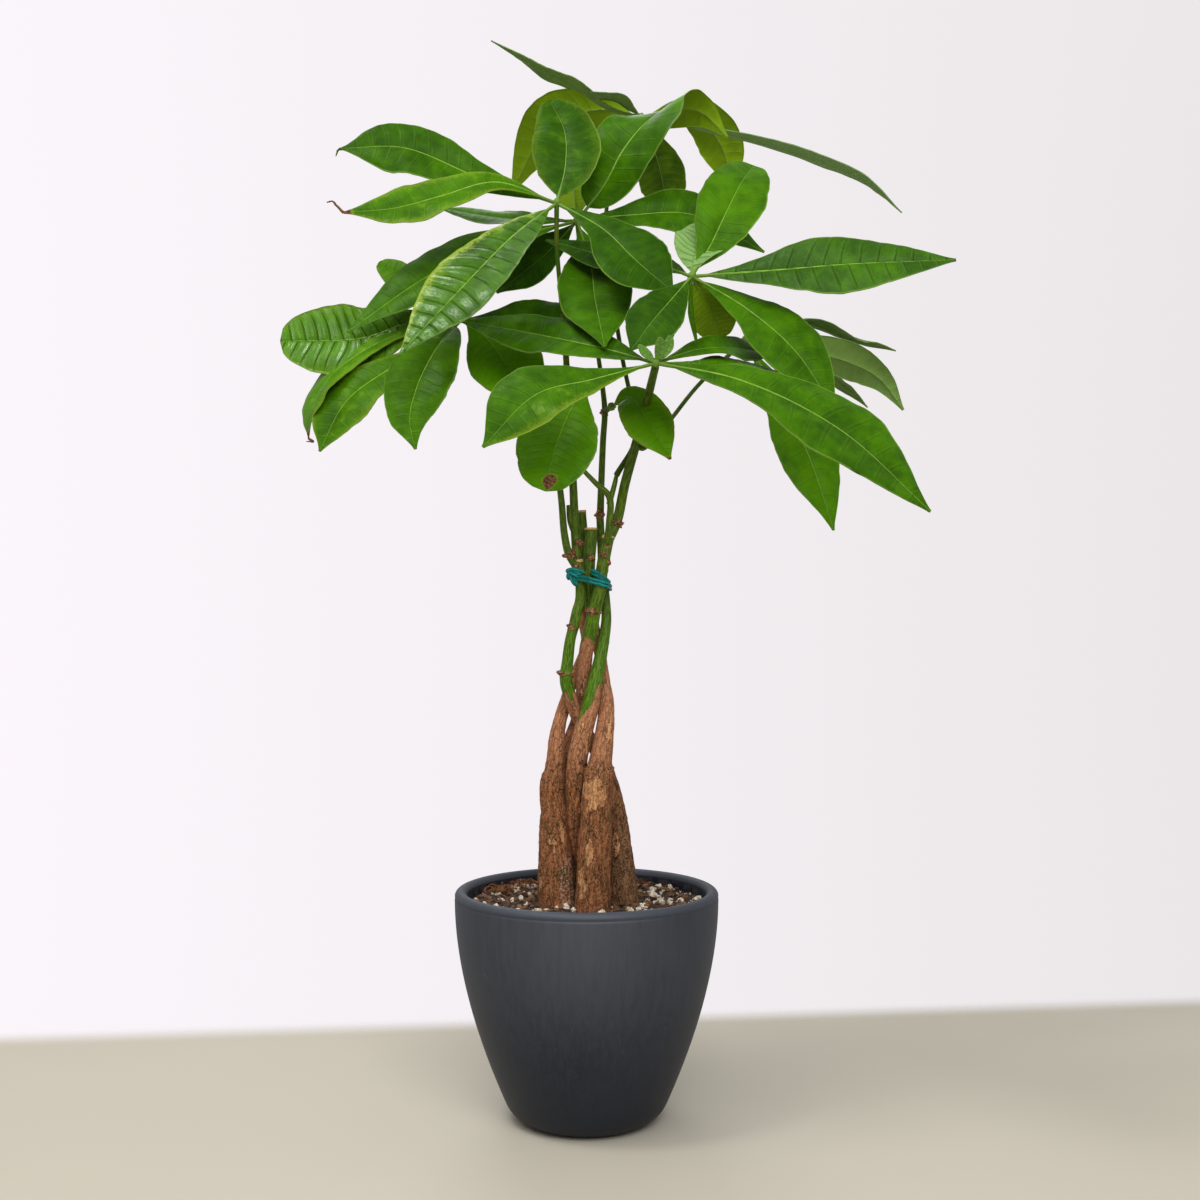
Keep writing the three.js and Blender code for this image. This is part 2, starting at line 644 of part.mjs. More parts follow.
function makeLeaf({ hub, petiole, leaflets }, trunksWithGap) {
  const stalk = [...petiole, hub].map((point) => [...point, PETIOLE_RADIUS]);
  const leaf = join([
    limb(stalk, PETIOLE_SIDES, 2 * stalk.length),
    ball([...hub, HUB_RADIUS]),
    ...leaflets.map((leaflet) => blade(hub, leaflet)),
  ]);
  return cut(leaf, trunksWithGap);
}

// ---------------------------------------------------------------- the whole plant

const trunkPlans = Object.entries(TRUNKS);
const trunksWithGap = trunkPlans.map(([, plan]) => makeTrunk(plan, CLEARANCE));

const plant = new THREE.Group();
plant.add(meshOf('pot', makePot(), potFinish()));
plant.add(meshOf('soil', makeSoil(trunksWithGap), soilFinish()));
trunkPlans.forEach(([name, plan], i) => {
  const trunk = cut(makeTrunk(plan), trunksWithGap.slice(0, i));
  plant.add(meshOf(name, trunk, barkFinish()));
});
plant.add(meshOf('tie', makeTie(trunksWithGap), tieFinish()));
for (const [name, plan] of Object.entries(LEAVES)) {
  plant.add(meshOf(name, makeLeaf(plan, trunksWithGap), leafFinish()));
}

export default plant;
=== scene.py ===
"""Potted money tree: finer leaves, bark, soil, pot and tie over the fixed model."""
import json
import math
import random

import bpy
from mathutils import Matrix, Vector, noise

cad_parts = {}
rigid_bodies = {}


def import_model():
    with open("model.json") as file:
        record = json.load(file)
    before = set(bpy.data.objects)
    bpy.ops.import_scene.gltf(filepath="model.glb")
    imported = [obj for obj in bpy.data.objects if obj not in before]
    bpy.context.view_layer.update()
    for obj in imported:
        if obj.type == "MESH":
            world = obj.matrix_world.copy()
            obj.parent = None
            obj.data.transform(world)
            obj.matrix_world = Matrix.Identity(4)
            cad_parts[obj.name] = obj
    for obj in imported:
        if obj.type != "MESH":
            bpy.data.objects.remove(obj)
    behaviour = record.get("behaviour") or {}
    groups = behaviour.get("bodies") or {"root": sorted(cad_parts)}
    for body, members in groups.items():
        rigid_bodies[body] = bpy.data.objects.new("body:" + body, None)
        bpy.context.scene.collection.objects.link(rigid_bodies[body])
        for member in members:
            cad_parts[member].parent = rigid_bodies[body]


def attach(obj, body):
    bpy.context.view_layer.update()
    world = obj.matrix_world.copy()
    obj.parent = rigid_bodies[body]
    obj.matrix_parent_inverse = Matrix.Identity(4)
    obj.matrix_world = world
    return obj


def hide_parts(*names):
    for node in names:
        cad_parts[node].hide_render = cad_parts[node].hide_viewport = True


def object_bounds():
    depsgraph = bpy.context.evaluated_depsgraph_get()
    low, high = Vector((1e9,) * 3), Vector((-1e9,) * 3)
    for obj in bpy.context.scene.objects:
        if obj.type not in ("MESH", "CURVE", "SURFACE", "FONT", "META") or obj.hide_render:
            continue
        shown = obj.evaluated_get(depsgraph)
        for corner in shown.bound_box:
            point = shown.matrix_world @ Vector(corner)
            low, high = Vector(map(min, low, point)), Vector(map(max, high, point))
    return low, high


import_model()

CAD_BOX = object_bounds()
MM = 0.001
TURN = 2 * math.pi
NEAR = 1e-3  # the step along a curve that gives its direction
INSET = 0.05  # how far inside the box a leaf stays, in millimetres

# ---------------------------------------------------------------- sizes, in millimetres

# The wall is one curve from the rounded foot to the lip. lower and upper say how far its
# two ends run straight on, as shares of its rise. Dust on the inside comes in between the
# first two heights and goes out between the last two.
POT = dict(height=138, rim=80, base=32, rounding=18.7, lean=math.radians(24.2), lower=0.51,
           upper=0.21, lip=7.4, wall=5.5, floor=7, groove=0.7, groove_at=133.6,
           groove_span=0.5, dust=(127, 131, 133, 135), sides=160, steps=120,
           foot_steps=12, lip_steps=14)
SOIL = dict(level=129, relief=1.1, span=7, crumbs=0.9, bottom=122, gap=0.3, rings=60, sides=150)
CHIPS = dict(count=16, least=4, most=8, start=30, end=64, seed=11, factor=1664525,
             step=1013904223, limit=2 ** 32)
# How many grains, chips and threads lie on the soil, how far out, and the clumps of
# fibre at the back: their middles, how many threads each has, and how wide they spread.
LITTER = dict(seed=4, grit=430, grit_sizes=(0.8, 1.1, 1.5, 2.0, 2.7), chips=900,
              chip_sizes=(0.8, 2.6), threads=60, thread_sizes=(6, 16), reach=70,
              thread_reach=66, clumps=[((-45, 52), 150), ((30, 62), 80), ((-58, 34), 60)],
              clump_sizes=(5, 12), spread=6, clump_reach=69, edge=70.5)
# A blade's edge and middle thickness, its stalk, the shape of its outline, how it bends
# across its width, and how strongly its outline sways and its surface ripples. TIP says
# how sharply each kind of tip narrows, and SIDES where across a blade its vertices are.
BLADE = dict(edge=0.45, middle=0.8, stalk=0.07, stalk_half=0.9, gutter=0.26, roll=0.2,
             ripple=0.07, along=11, shift=2.5, sway=0.06, notch=0.035, curl=0.15, cockle=0.07,
             swell=0.38, rib=0.75, rib_half=0.9)
TIP = dict(pointed=1.3, blunt=0.45, young=0.8)
SIDES = [0.0, 0.03, 0.08, 0.18, 0.32, 0.48, 0.64, 0.8, 0.92, 1.0]
SIDES = [-s for s in SIDES[:0:-1]] + SIDES
CAMERA = dict(place=(0, -850, 291), pitch=1.51, yaw=0.545, lens=41.64, sensor=36)
FLOOR = dict(span=3000, edge=0.21, slant=0.105, blur=0.022)
# Lamps, in metres and watts: place, target, size, power and colour.
LAMPS = dict(
    key=((-0.75, -0.8, 1.8), (0, 0, 0.35), 1.5, 13.5, (1.0, 0.98, 0.95)),
    window=((-0.65, -0.5, 1.9), (0, 0, 0.45), 0.3, 9, (1.0, 0.99, 0.97)),
    fill=((0.3, -1.4, 1.3), (0, 0, 0.2), 1.0, 20, (1, 1, 1)),
    back=((-0.3, 1.3, 1.6), (0, 0, 0.45), 1.0, 7, (1, 1, 1)))
BACKDROP = dict(left=(0.975, 0.925, 0.97), right=(0.83, 0.80, 0.81), reach=0.4,
                light=(1.0, 0.99, 0.98), strength=0.48)


def trunk(**plan):
    """A strand's plan.

    route and shoots are [x, y, z, radius] from the soil up. scars and buds are corky knobs,
    rings are the heights of ring scars, and green is the height where bark turns to skin,
    which rises by lean for each millimetre right of axis. ledges are steps in the bark as
    [height, reach, rise], and patches (peeled) and chalky are [x, z, half width, half height].
    peel is how readily the rest of the bark peels, seed picks its pattern, and sides is how
    many vertices go round it.
    """
    return {**dict(shoots=[], scars=[], buds=[], ledges=[], patches=[], chalky=[], lean=0,
                   axis=0, sides=48), **plan}


TRUNKS = {
    "trunk_back": trunk(route=[(-10.5, 20, 105, 7.5), (-11.5, 19, 127, 7), (-13, 17, 158.5, 6),
        (-14, 15, 189.5, 5.3), (-13, 12, 216.5, 4.1), (-10.5, 10, 227, 3.9), (-6.5, 8, 238.5, 3.7),
        (-3.5, 5, 248.5, 3.8), (-2.5, 2, 260, 4.1), (-2, 0, 268, 4.3), (0, -4, 284.5, 4.4),
        (2.5, -7, 295.5, 4.3), (4.5, -9, 306.5, 4.1), (7.3, -10, 317, 3.8), (8.8, -10, 328.5, 3.7),
        (11.3, -9, 343.5, 3.8), (13.3, -8, 352, 3.6)],
        shoots=[
            [(12, -8.5, 347, 3.1), (18.5, -6, 362, 3.1), (23, -10, 383, 2.9), (30, -20, 408.5, 2.8),
             (35.5, -38, 430, 2.6), (38.5, -74, 442.5, 2.2)],
            [(12, -10, 344, 2.5), (13.5, -13, 358.5, 2.1), (13.5, -13, 375.5, 2),
             (5.5, -14, 383.5, 1.6), (-3.5, -16, 392.5, 1.3)],
            [(13.5, -13, 371, 1.8), (17, -11, 384, 1.5), (18, -9, 389, 1.2)],
            [(29.5, -19, 406, 1.8), (33.5, -20, 404, 1.7), (38, -20.5, 407.5, 1.5)]],
        scars=[(4, -10.5, 306, 3.6), (12.5, -11, 336, 2.2), (18.5, -7, 360, 3.6)],
        buds=[(10.3, -12.4, 340.5, 2.2), (5.2, -10.8, 313, 1)], rings=[306, 331], green=287,
        peel=0.55, seed=5),
    "trunk_centre": trunk(route=[(-3, 4, 108.5, 7.5), (-4, 1, 142.5, 6.6), (-5.5, -5, 164.5, 6),
        (-7, -10, 186.5, 5.5), (-6.8, -12, 206, 5.8), (-5.3, -11.5, 219.5, 6.1),
        (-1.8, -9, 235, 5.8), (1.6, -8, 246, 5.3), (4, -7, 258.5, 4.8), (8, -4, 276.5, 3.9),
        (10.5, 0, 290, 3.5), (12, 4, 301, 3.1), (11.5, 6, 313.5, 2.9), (9.8, 6, 329, 2.7),
        (9, 5, 344.5, 2.5), (8.5, 4, 356.5, 2.4), (8, 3, 367, 2.3)],
        shoots=[
            [(8.2, 3.3, 363, 2.3), (9, 2, 387.5, 2), (10, 0, 412, 1.9), (11, -2, 428.5, 1.8),
             (9.5, -3, 445, 1.5), (6.5, -4, 466, 1.3)]],
        scars=[(-3.5, -15, 215.5, 3), (8, 2, 366, 2.9), (10.5, -2, 428, 2.4)], rings=[286, 366],
        green=252, lean=1.1, axis=3, peel=0.62, seed=9),
    "trunk_front": trunk(route=[(3.5, -24, 114.5, 10.8), (3.5, -24, 132, 10.6),
        (4.5, -22, 161.5, 9.9), (6, -18, 193.5, 8.9), (7.5, -15, 210, 8), (8.5, -14, 217, 6.8),
        (10.5, -10, 231.5, 5.7), (11.8, -5, 243.5, 5), (11.7, -1, 252.5, 4.7), (10.6, 3, 261.5, 4),
        (9.2, 6.5, 273.5, 3.6), (7, 7, 286, 3.6), (4, 4, 298, 3.6), (2.5, 0.5, 310, 3.6),
        (1.5, -2, 322.5, 3.6), (1.5, -2, 338, 3.7), (2.5, -2, 350.5, 3.8), (2.5, -2, 357.5, 3.6)],
        scars=[(3, -5, 339, 2.1)], rings=[213, 330], green=300, peel=0.5, seed=21, sides=76,
        ledges=[(212.5, 14, 1.3), (176, 5, 0.35)],
        patches=[(5.2, 198, 6.5, 9), (-2.6, 147, 2, 9), (1.6, 165, 2.4, 7.5)]),
    "trunk_right": trunk(route=[(24, 0, 109.5, 9.2), (23, 0, 127.5, 8.9), (21, 3, 153, 8),
        (18, 7, 181.5, 6.5), (13, 11, 203.5, 5.3), (7, 12, 219.5, 4.7), (1, 8, 229.5, 4.1),
        (-6, -1, 242.5, 4), (-10, -6, 254.5, 3.9), (-12.5, -9, 264.5, 3.9), (-11.5, -9, 277, 3.5),
        (-10, -9, 289, 3.2), (-8, -9, 297, 3.2), (-6, -8, 306, 3.2), (-4, -7, 313, 3.2),
        (-4, -7, 325.5, 3.2), (-6, -7, 337.5, 3.3)],
        shoots=[
            [(-5.5, -7, 334, 3), (-7, -6, 353, 2.7), (-8.5, -5, 386.5, 2.4), (-11, -8, 423, 2.1),
             (-12.5, -12, 458.5, 1.9), (-14.5, -16, 486.5, 1.7)],
            [(-6, -8, 333, 2.7), (-11, -10, 341.5, 2.5), (-13.5, -10, 352.5, 2.2),
             (-15.5, -8, 374, 2), (-19, -4, 399, 1.8), (-26, 2, 421.5, 1.5)],
            [(-8, -5.5, 356, 2.2), (-10, -6.5, 362, 2), (-10.6, -6.5, 371, 1.9)]],
        scars=[(-12.5, -9.5, 268, 4.2), (-8.5, -9.5, 296.5, 3.5), (-10.5, -10.5, 340, 3.1)],
        buds=[(-4.6, -8.3, 348, 2.6), (-8.6, -9.6, 343, 1.8)], rings=[268, 296.5], green=256,
        peel=0.4, seed=33),
    "trunk_left": trunk(route=[(-14, -12, 112, 12), (-18, -10, 138.5, 11.5), (-19, -8, 162, 10),
        (-19.5, -6, 184, 8.4), (-20.5, -5, 200.5, 8), (-19.5, -4, 211, 6.1), (-18.5, -3, 222, 5.4),
        (-17.5, 0, 234.5, 4.4), (-13, 5, 251, 3.6), (-9, 9, 263, 3.5), (-3.5, 11, 275.5, 3.5),
        (0, 11.5, 286, 3.4), (-1.5, 9.5, 298, 3.3), (-2.5, 7.5, 313.5, 3.2), (-2.5, 8, 332, 3),
        (-2, 6, 351, 2.8), (-3, 5, 369, 2.4)],
        rings=[204, 345], green=312, peel=0.4, seed=47, sides=72,
        ledges=[(208, 8, 0.6), (182, 6, 0.4)], patches=[(-15, 172, 1.6, 6)],
        chalky=[(-11, 143, 6, 20)])
}


# The tie's long and short turns, each laid twice, then the loops of its knot as a middle
# and two half widths each, and the short tail.
TIE_LONG = [
    (-8.7, -7, 327.7), (-7.4, -10.3, 327.3), (-4.5, -11.8, 326.5), (2, -13.9, 325),
    (8.2, -15.1, 323.3), (11.8, -13.6, 322.3), (13.4, -10, 321.8), (14.2, -2, 321.3),
    (14.6, 6, 321), (13.4, 9.6, 321.3), (10.6, 10.7, 322), (4, 12, 324), (-2.5, 12.5, 326),
    (-5.9, 11.2, 327), (-7.3, 7.8, 327.2), (-8.4, 0, 327.5)]
TIE_SHORT = [(3.4, -9.8, 330.3), (8.6, -15.1, 327), (13.6, -10.2, 323.1), (8.6, -4.8, 328)]
KNOT = [((-7.6, -11.2, 330.2), (4.2, -0.6, -0.6), (0.3, 0.2, 1.4)),
        ((-7.4, -11.4, 329.2), (3.2, -0.4, -1.3), (0, 0.9, 1.2)),
        ((-8.3, -11.3, 325.6), (1.7, -0.3, -3.2), (0.8, 0.3, 0.4)),
        ((-10.4, -10.4, 328.4), (0.5, -1.2, 2.1), (0.9, 0.9, 0.2))]
TAIL = [(-6.4, -12, 330, 1.1), (-3.2, -12.4, 330.6, 1.1), (-1.6, -12, 329.6, 1)]
CORD = dict(radius=1.0, knot_radius=1.1, sides=10)


def leaflet(rib, width, face, tone, **more):
    """A leaflet's plan.

    rib runs from the hub to the tip, width is its greatest width, face is where its upper
    side looks, and tone goes from dull dark to bright, partly the leaflet's own green and partly
    painted light that brightens leaflets lying in shade; tip_face and tip_tone are the same at
    the tip. widest is where along the rib it is widest, base how sharply it narrows to the
    hub, tip the kind of tip, and curl the route of a thin end beyond it. quilt is how
    strongly it swells between its veins. yellow, brown, spot and pale are shares of
    yellowing, dead tip, dead spot and a paler tint, and aged is the side that yellows; pale is
    partly the paler tint of young leaflets and grey undersides and partly painted light on
    undersides seen in shade.
    """
    return {**dict(rib=rib, width=width, face=face, tip_face=face, tone=tone, tip_tone=tone,
                   tip="pointed", widest=0.58, base=0.82, curl=[], quilt=1.0, yellow=0,
                   brown=0, spot=0, pale=0, aged=0), **more}


# hub is where the leaflets of a leaf meet, and petiole is the route of its stalk up to it.
# tone and pale in these tables are partly painted light: they are raised on leaflets that lie in
# shade or are seen from below.
LEAVES = {
    "leaf_upper_left": dict(hub=(-18, -30, 549), petiole=[(-14.5, -16, 486.5), (-16, -19, 500),
        (-18, -25, 525)], leaflets=[
        leaflet([(-64, -36, 562), (-107, -40, 578), (-144, -42, 577)], 37, (0.05, -0.93, 0.35),
            0.38, widest=0.64, base=0.6, curl=[(-146, -42, 576), (-147, -43, 572)], brown=0.1),
        leaflet([(-53, -43, 557), (-85, -51, 546), (-111, -57, 537), (-139, -62, 533)], 31,
            (0.1, -0.85, 0.52), 0.5, curl=[(-143, -63, 537), (-145, -64, 539), (-148, -65, 538)],
            yellow=0.35, brown=0.55),
        leaflet([(-43, -56, 521), (-69, -80, 486), (-102, -98, 444)], 46, (-0.25, -0.85, 0.45),
            0.42, base=0.7, yellow=0.9, aged=-1, quilt=2.3, brown=0.15),
        leaflet([(-13, -20, 575), (-14, -8, 601), (-23, 0, 622)], 42, (0, -0.9, 0.45), 0.22,
            widest=0.45, tip="blunt", yellow=0.15),
        leaflet([(9, -46, 529), (29, -62, 505), (49, -68, 486)], 43, (0.15, -0.9, 0.35), 0.2,
            widest=0.62)]),
    "leaf_right": dict(hub=(60, -62, 497), petiole=[(41, -66, 446), (48, -60, 462), (56, -60, 482)],
        leaflets=[
        leaflet([(48, -75, 481), (35, -85, 464), (24, -92, 448)], 31, (-0.2, -0.95, 0.1), 0.22),
        leaflet([(43, -43, 508), (11, -24, 519), (-25, -12, 532)], 29, (0, -0.75, 0.65), 0.15),
        leaflet([(71, -58, 516), (80, -54, 535), (90, -44, 556), (100, -26, 573)], 38,
            (0.1, -0.95, 0.1), 0.52, tip_face=(0.4, -0.2, 0.9), tip="blunt"),
        leaflet([(62, -58, 510), (69, -48, 524), (79, -38, 537)], 34, (-0.15, -0.88, 0.42), 0.85,
            quilt=1.4, pale=0.9),
        leaflet([(103, -74, 497), (145, -84, 498), (204, -90, 499)], 39, (0, -0.9, 0.42), 0.32,
            widest=0.6, base=0.75, quilt=1.7),
        leaflet([(90, -72, 476), (116, -84, 449), (137, -92, 413)], 41, (0.3, -0.88, 0.35), 0.42),
        leaflet([(71, -55, 480), (79, -40, 466)], 28, (0.1, 0.9, 0.2), 1.1, tip="blunt"),
        leaflet([(59, -63, 480), (63, -62, 456)], 7, (0.9, -0.5, 0), 0.6, tip="young")]),
    "leaf_front": dict(hub=(38, -88, 442), petiole=[(38.5, -72, 442), (38.5, -80, 442.5)],
        leaflets=[
        leaflet([(3, -102, 430), (-27, -112, 420), (-55, -118, 391)], 43, (-0.1, -0.8, 0.55), 0.4,
            widest=0.66, yellow=0.35, aged=1),
        leaflet([(84, -104, 429), (134, -120, 400), (179, -130, 356)], 50, (0.25, -0.75, 0.55),
            0.38, widest=0.63, base=0.65),
        leaflet([(7, -66, 455), (-33, -48, 467), (-75, -36, 477)], 36, (0, -0.75, 0.65), 0.35),
        leaflet([(63, -76, 452), (87, -64, 455), (110, -54, 452)], 28, (0, -0.6, 0.75), 0.4),
        leaflet([(63, -86, 442), (88, -78, 443), (115, -70, 438)], 24, (0, -0.4, 0.9), 0.45),
        leaflet([(33, -92, 446), (28, -96, 450)], 6, (0, -0.9, 0.4), 1, tip="young", pale=0.5),
        leaflet([(40, -93, 448), (40, -98, 454)], 6, (0, -0.9, 0.1), 1, tip="young", pale=0.5),
        leaflet([(44, -91, 449), (46, -94, 456)], 6, (0, -0.9, 0.1), 1, tip="young", pale=0.5)]),
    "leaf_left": dict(hub=(-76, -8, 485), petiole=[(-26, 2, 421), (-41, 4, 446), (-60, 0, 470)],
        leaflets=[
        leaflet([(-105, -16, 481), (-135, -20, 470), (-183, -24, 467)], 47, (-0.1, -0.93, 0.3), 0.6,
            widest=0.72, tip="blunt", yellow=0.15, quilt=2.2),
        leaflet([(-121, -24, 468), (-152, -32, 444), (-162, -36, 424), (-163, -38, 407)], 32,
            (-0.4, -0.8, 0.45), 0.7, tip_face=(-0.9, -0.3, 0.3),
            curl=[(-160, -39, 405), (-164, -40, 405)], yellow=0.3, brown=0.8),
        leaflet([(-110, -34, 453), (-139, -46, 428), (-153, -56, 397)], 38, (-0.3, -0.85, 0.45),
            0.5, widest=0.66, yellow=0.2),
        leaflet([(-89, -38, 459), (-98, -51, 435), (-101, -60, 415), (-97, -66, 397)], 39,
            (-0.1, -0.95, 0.3), 0.5, widest=0.42),
        leaflet([(-61, -14, 472), (-46, -24, 450), (-33, -30, 425)], 46, (0.2, -0.95, 0.3), 1.3),
        leaflet([(-50, 0, 486), (-20, 4, 487), (9, 6, 484)], 34, (0, -0.8, 0.6), 0.25),
        leaflet([(-98, 14, 503), (-132, 28, 529)], 24, (0, -0.9, 0.4), 0.8, tip="blunt",
            yellow=0.2)]),
    "leaf_right_back": dict(hub=(105, 66, 488), petiole=[(38, -20.5, 407.5), (49, -4, 421),
        (71, 28, 451)], leaflets=[
        leaflet([(144, 82, 504), (180, 92, 494), (212, 96, 487)], 34, (0.2, -0.1, 0.97), 0.6,
            pale=0.4),
        leaflet([(142, 70, 483), (177, 72, 474), (196, 71, 463), (211, 70, 442)], 28,
            (0.35, 0.75, 0.62), 0.6, widest=0.45, pale=0.6),
        leaflet([(128, 58, 446), (145, 46, 405), (158, 36, 359)], 43, (0.3, -0.9, 0.2), 0.65),
        leaflet([(146, 94, 485), (172, 108, 470), (196, 114, 451)], 26, (0.8, 0.1, 0.6), 0.6,
            pale=0.3)]),
    "leaf_top": dict(hub=(36, 70, 639), petiole=[(18, -9, 389), (29, -6, 410), (27, -2, 436),
        (22, 4, 463), (16, 24, 511), (13, 50, 572), (24, 64, 614)], leaflets=[
        leaflet([(13, 62, 642), (-6, 56, 652), (-31, 48, 662), (-62, 38, 676)], 27,
            (0, -0.18, 0.98), 0.6, pale=0.55),
        leaflet([(21, 54, 644), (3, 36, 642)], 16, (-0.2, -0.3, 0.9), 0.6, pale=0.6),
        leaflet([(6, 84, 649), (-27, 98, 641), (-53, 104, 597)], 40, (-0.5, 0.75, 0.45), 1.0),
        leaflet([(46, 90, 624), (53, 102, 603), (56, 108, 584)], 34, (0.2, 0.9, 0.3), 0.4),
        leaflet([(70, 80, 646), (92, 90, 627), (100, 94, 596)], 36, (0.6, 0.7, 0.4), 0.9),
        leaflet([(97, 58, 622), (142, 36, 600), (175, 18, 579), (196, 6, 555)], 28, (0.1, 0.02, 1),
            0.8, pale=1.0)]),
    "leaf_middle": dict(hub=(-6, 5, 549), petiole=[(6.5, -4, 466), (1, 2, 505), (-4, 4, 530)],
        leaflets=[
        leaflet([(11, 6, 572), (22, 4, 592), (36, 6, 610), (51, 16, 623), (72, 24, 625),
            (89, 20, 607)], 50, (-0.1, -1, 0.15), 0.34, widest=0.45, base=0.5,
            tip_face=(-0.1, 0.5, 0.4), tip_tone=1.15),
        leaflet([(28, 0, 551), (65, -4, 550), (109, -4, 527)], 38, (0, -0.8, 0.55), 0.3),
        leaflet([(2, -13, 518), (5, -41, 488), (10, -76, 453)], 44, (0, -0.8, 0.6), 0.45),
        leaflet([(-53, -10, 531), (-94, -24, 507), (-141, -36, 470)], 38, (-0.2, -0.85, 0.5), 0.4),
        leaflet([(-47, 6, 550), (-92, 14, 559)], 28, (0, -0.6, 0.85), 0.3),
        leaflet([(-26, 16, 531), (-57, 22, 508)], 28, (-0.2, -0.9, 0.3), 0.2),
        leaflet([(-8, 34, 574), (-10, 56, 605)], 24, (0, 0.9, 0.3), 1.2)]),
    "leaf_hanging": dict(hub=(1, -52, 439), petiole=[(-3.5, -16, 392.5), (-7, -34, 413)], leaflets=[
        leaflet([(-10, -60, 419), (-18, -70, 396), (-23, -78, 372)], 46, (-0.1, -0.95, 0.25), 0.65,
            tip="blunt", spot=0.9)]),
    "leaf_small": dict(hub=(15, -14, 430), petiole=[(11, -3, 429)], leaflets=[
        leaflet([(25, -26, 434), (37, -44, 414), (48, -54, 393)], 29, (0.1, -0.95, 0.2), 1.25,
            widest=0.6, yellow=0.3, brown=0.4)])
}

# ---------------------------------------------------------------- colours, linear

COLOURS = dict(
    blade_dark=(0.0125, 0.051, 0.0001), blade_light=(0.075, 0.224, 0.0003),
    blade_net=(0.075, 0.17, 0.01), blade_vein=(0.12, 0.24, 0.02),
    blade_crease_painted_shade=(0.016, 0.055, 0.001), blade_rib=(0.22, 0.39, 0.05),
    back_dark=(0.024, 0.062, 0.002), back_light=(0.15, 0.26, 0.004),
    back_net=(0.06, 0.12, 0.015), back_vein=(0.13, 0.21, 0.05), back_rib=(0.20, 0.30, 0.08),
    leaf_edge_painted_highlight=(0.20, 0.33, 0.05), leaf_pale_and_painted_light=(0.20, 0.34, 0.11), leaf_aged=(0.24, 0.33, 0.025),
    leaf_dying=(0.20, 0.20, 0.02), leaf_speck=(0.18, 0.25, 0.05),
    dead_dark=(0.035, 0.016, 0.008), dead_light=(0.17, 0.085, 0.035),
    stem_dark=(0.018, 0.050, 0.001), stem_light=(0.055, 0.115, 0.003),
    stem_olive=(0.085, 0.115, 0.006), stem_joint=(0.13, 0.24, 0.03),
    stem_dead_dark=(0.06, 0.025, 0.01), stem_dead_light=(0.24, 0.12, 0.05),
    bark_dark=(0.105, 0.040, 0.016), bark_light=(0.43, 0.168, 0.068),
    bark_olive=(0.13, 0.085, 0.026), weathered_shaded_dark=(0.060, 0.034, 0.015),
    weathered_shaded_light=(0.26, 0.150, 0.075), young_dark=(0.27, 0.105, 0.046),
    young_light=(0.52, 0.245, 0.130), bark_knob=(0.60, 0.31, 0.15),
    bark_thread=(0.60, 0.32, 0.17), bark_hollow=(0.050, 0.018, 0.008),
    bark_pit=(0.035, 0.012, 0.006), bark_crack=(0.022, 0.008, 0.004),
    bare_dark=(0.33, 0.135, 0.045), bare_light=(0.66, 0.36, 0.17),
    bare_rim=(0.035, 0.012, 0.005), bark_chalk=(0.50, 0.42, 0.33), bark_dot=(0.55, 0.28, 0.13),
    skin_dark=(0.024, 0.070, 0.001), skin_light=(0.110, 0.220, 0.010),
    skin_patch=(0.050, 0.130, 0.003), olive_dark=(0.026, 0.052, 0.003),
    olive_light=(0.125, 0.185, 0.014), skin_fleck=(0.16, 0.15, 0.05),
    skin_dot=(0.30, 0.26, 0.12), cork_dark=(0.045, 0.016, 0.007), cork_light=(0.40, 0.19, 0.09),
    cut_wood=(0.56, 0.36, 0.18),
    pot_dark=(0.009, 0.011, 0.019), pot_light=(0.018, 0.021, 0.033),
    pot_hair=(0.034, 0.038, 0.050), pot_cloud=(0.020, 0.024, 0.036),
    pot_mark=(0.15, 0.15, 0.16), pot_painted_highlight=(0.052, 0.056, 0.068), pot_foot_painted_shade=(0.003, 0.004, 0.008),
    pot_lip=(0.040, 0.046, 0.060), pot_inside_painted_shade=(0.005, 0.008, 0.018), pot_dust=(0.12, 0.09, 0.07),
    soil_dark=(0.009, 0.005, 0.003), soil_light=(0.055, 0.026, 0.012),
    soil_gap_painted_shade=(0.006, 0.004, 0.003), grit_dark=(0.42, 0.34, 0.24), grit_light=(0.82, 0.77, 0.66),
    grit_pore=(0.22, 0.15, 0.10), chip_dark=(0.012, 0.006, 0.003), chip_mid=(0.075, 0.032, 0.014),
    chip_red=(0.13, 0.055, 0.02), chip_light=(0.30, 0.15, 0.065),
    fibre_dark=(0.060, 0.020, 0.005), fibre_light=(0.34, 0.125, 0.028),
    cord_shaded_teal=(0.0005, 0.062, 0.058), cord_lit_teal=(0.001, 0.250, 0.220),
    floor_dark=(0.455, 0.422, 0.347), floor_light=(0.49, 0.457, 0.379))


# ---------------------------------------------------------------- curves

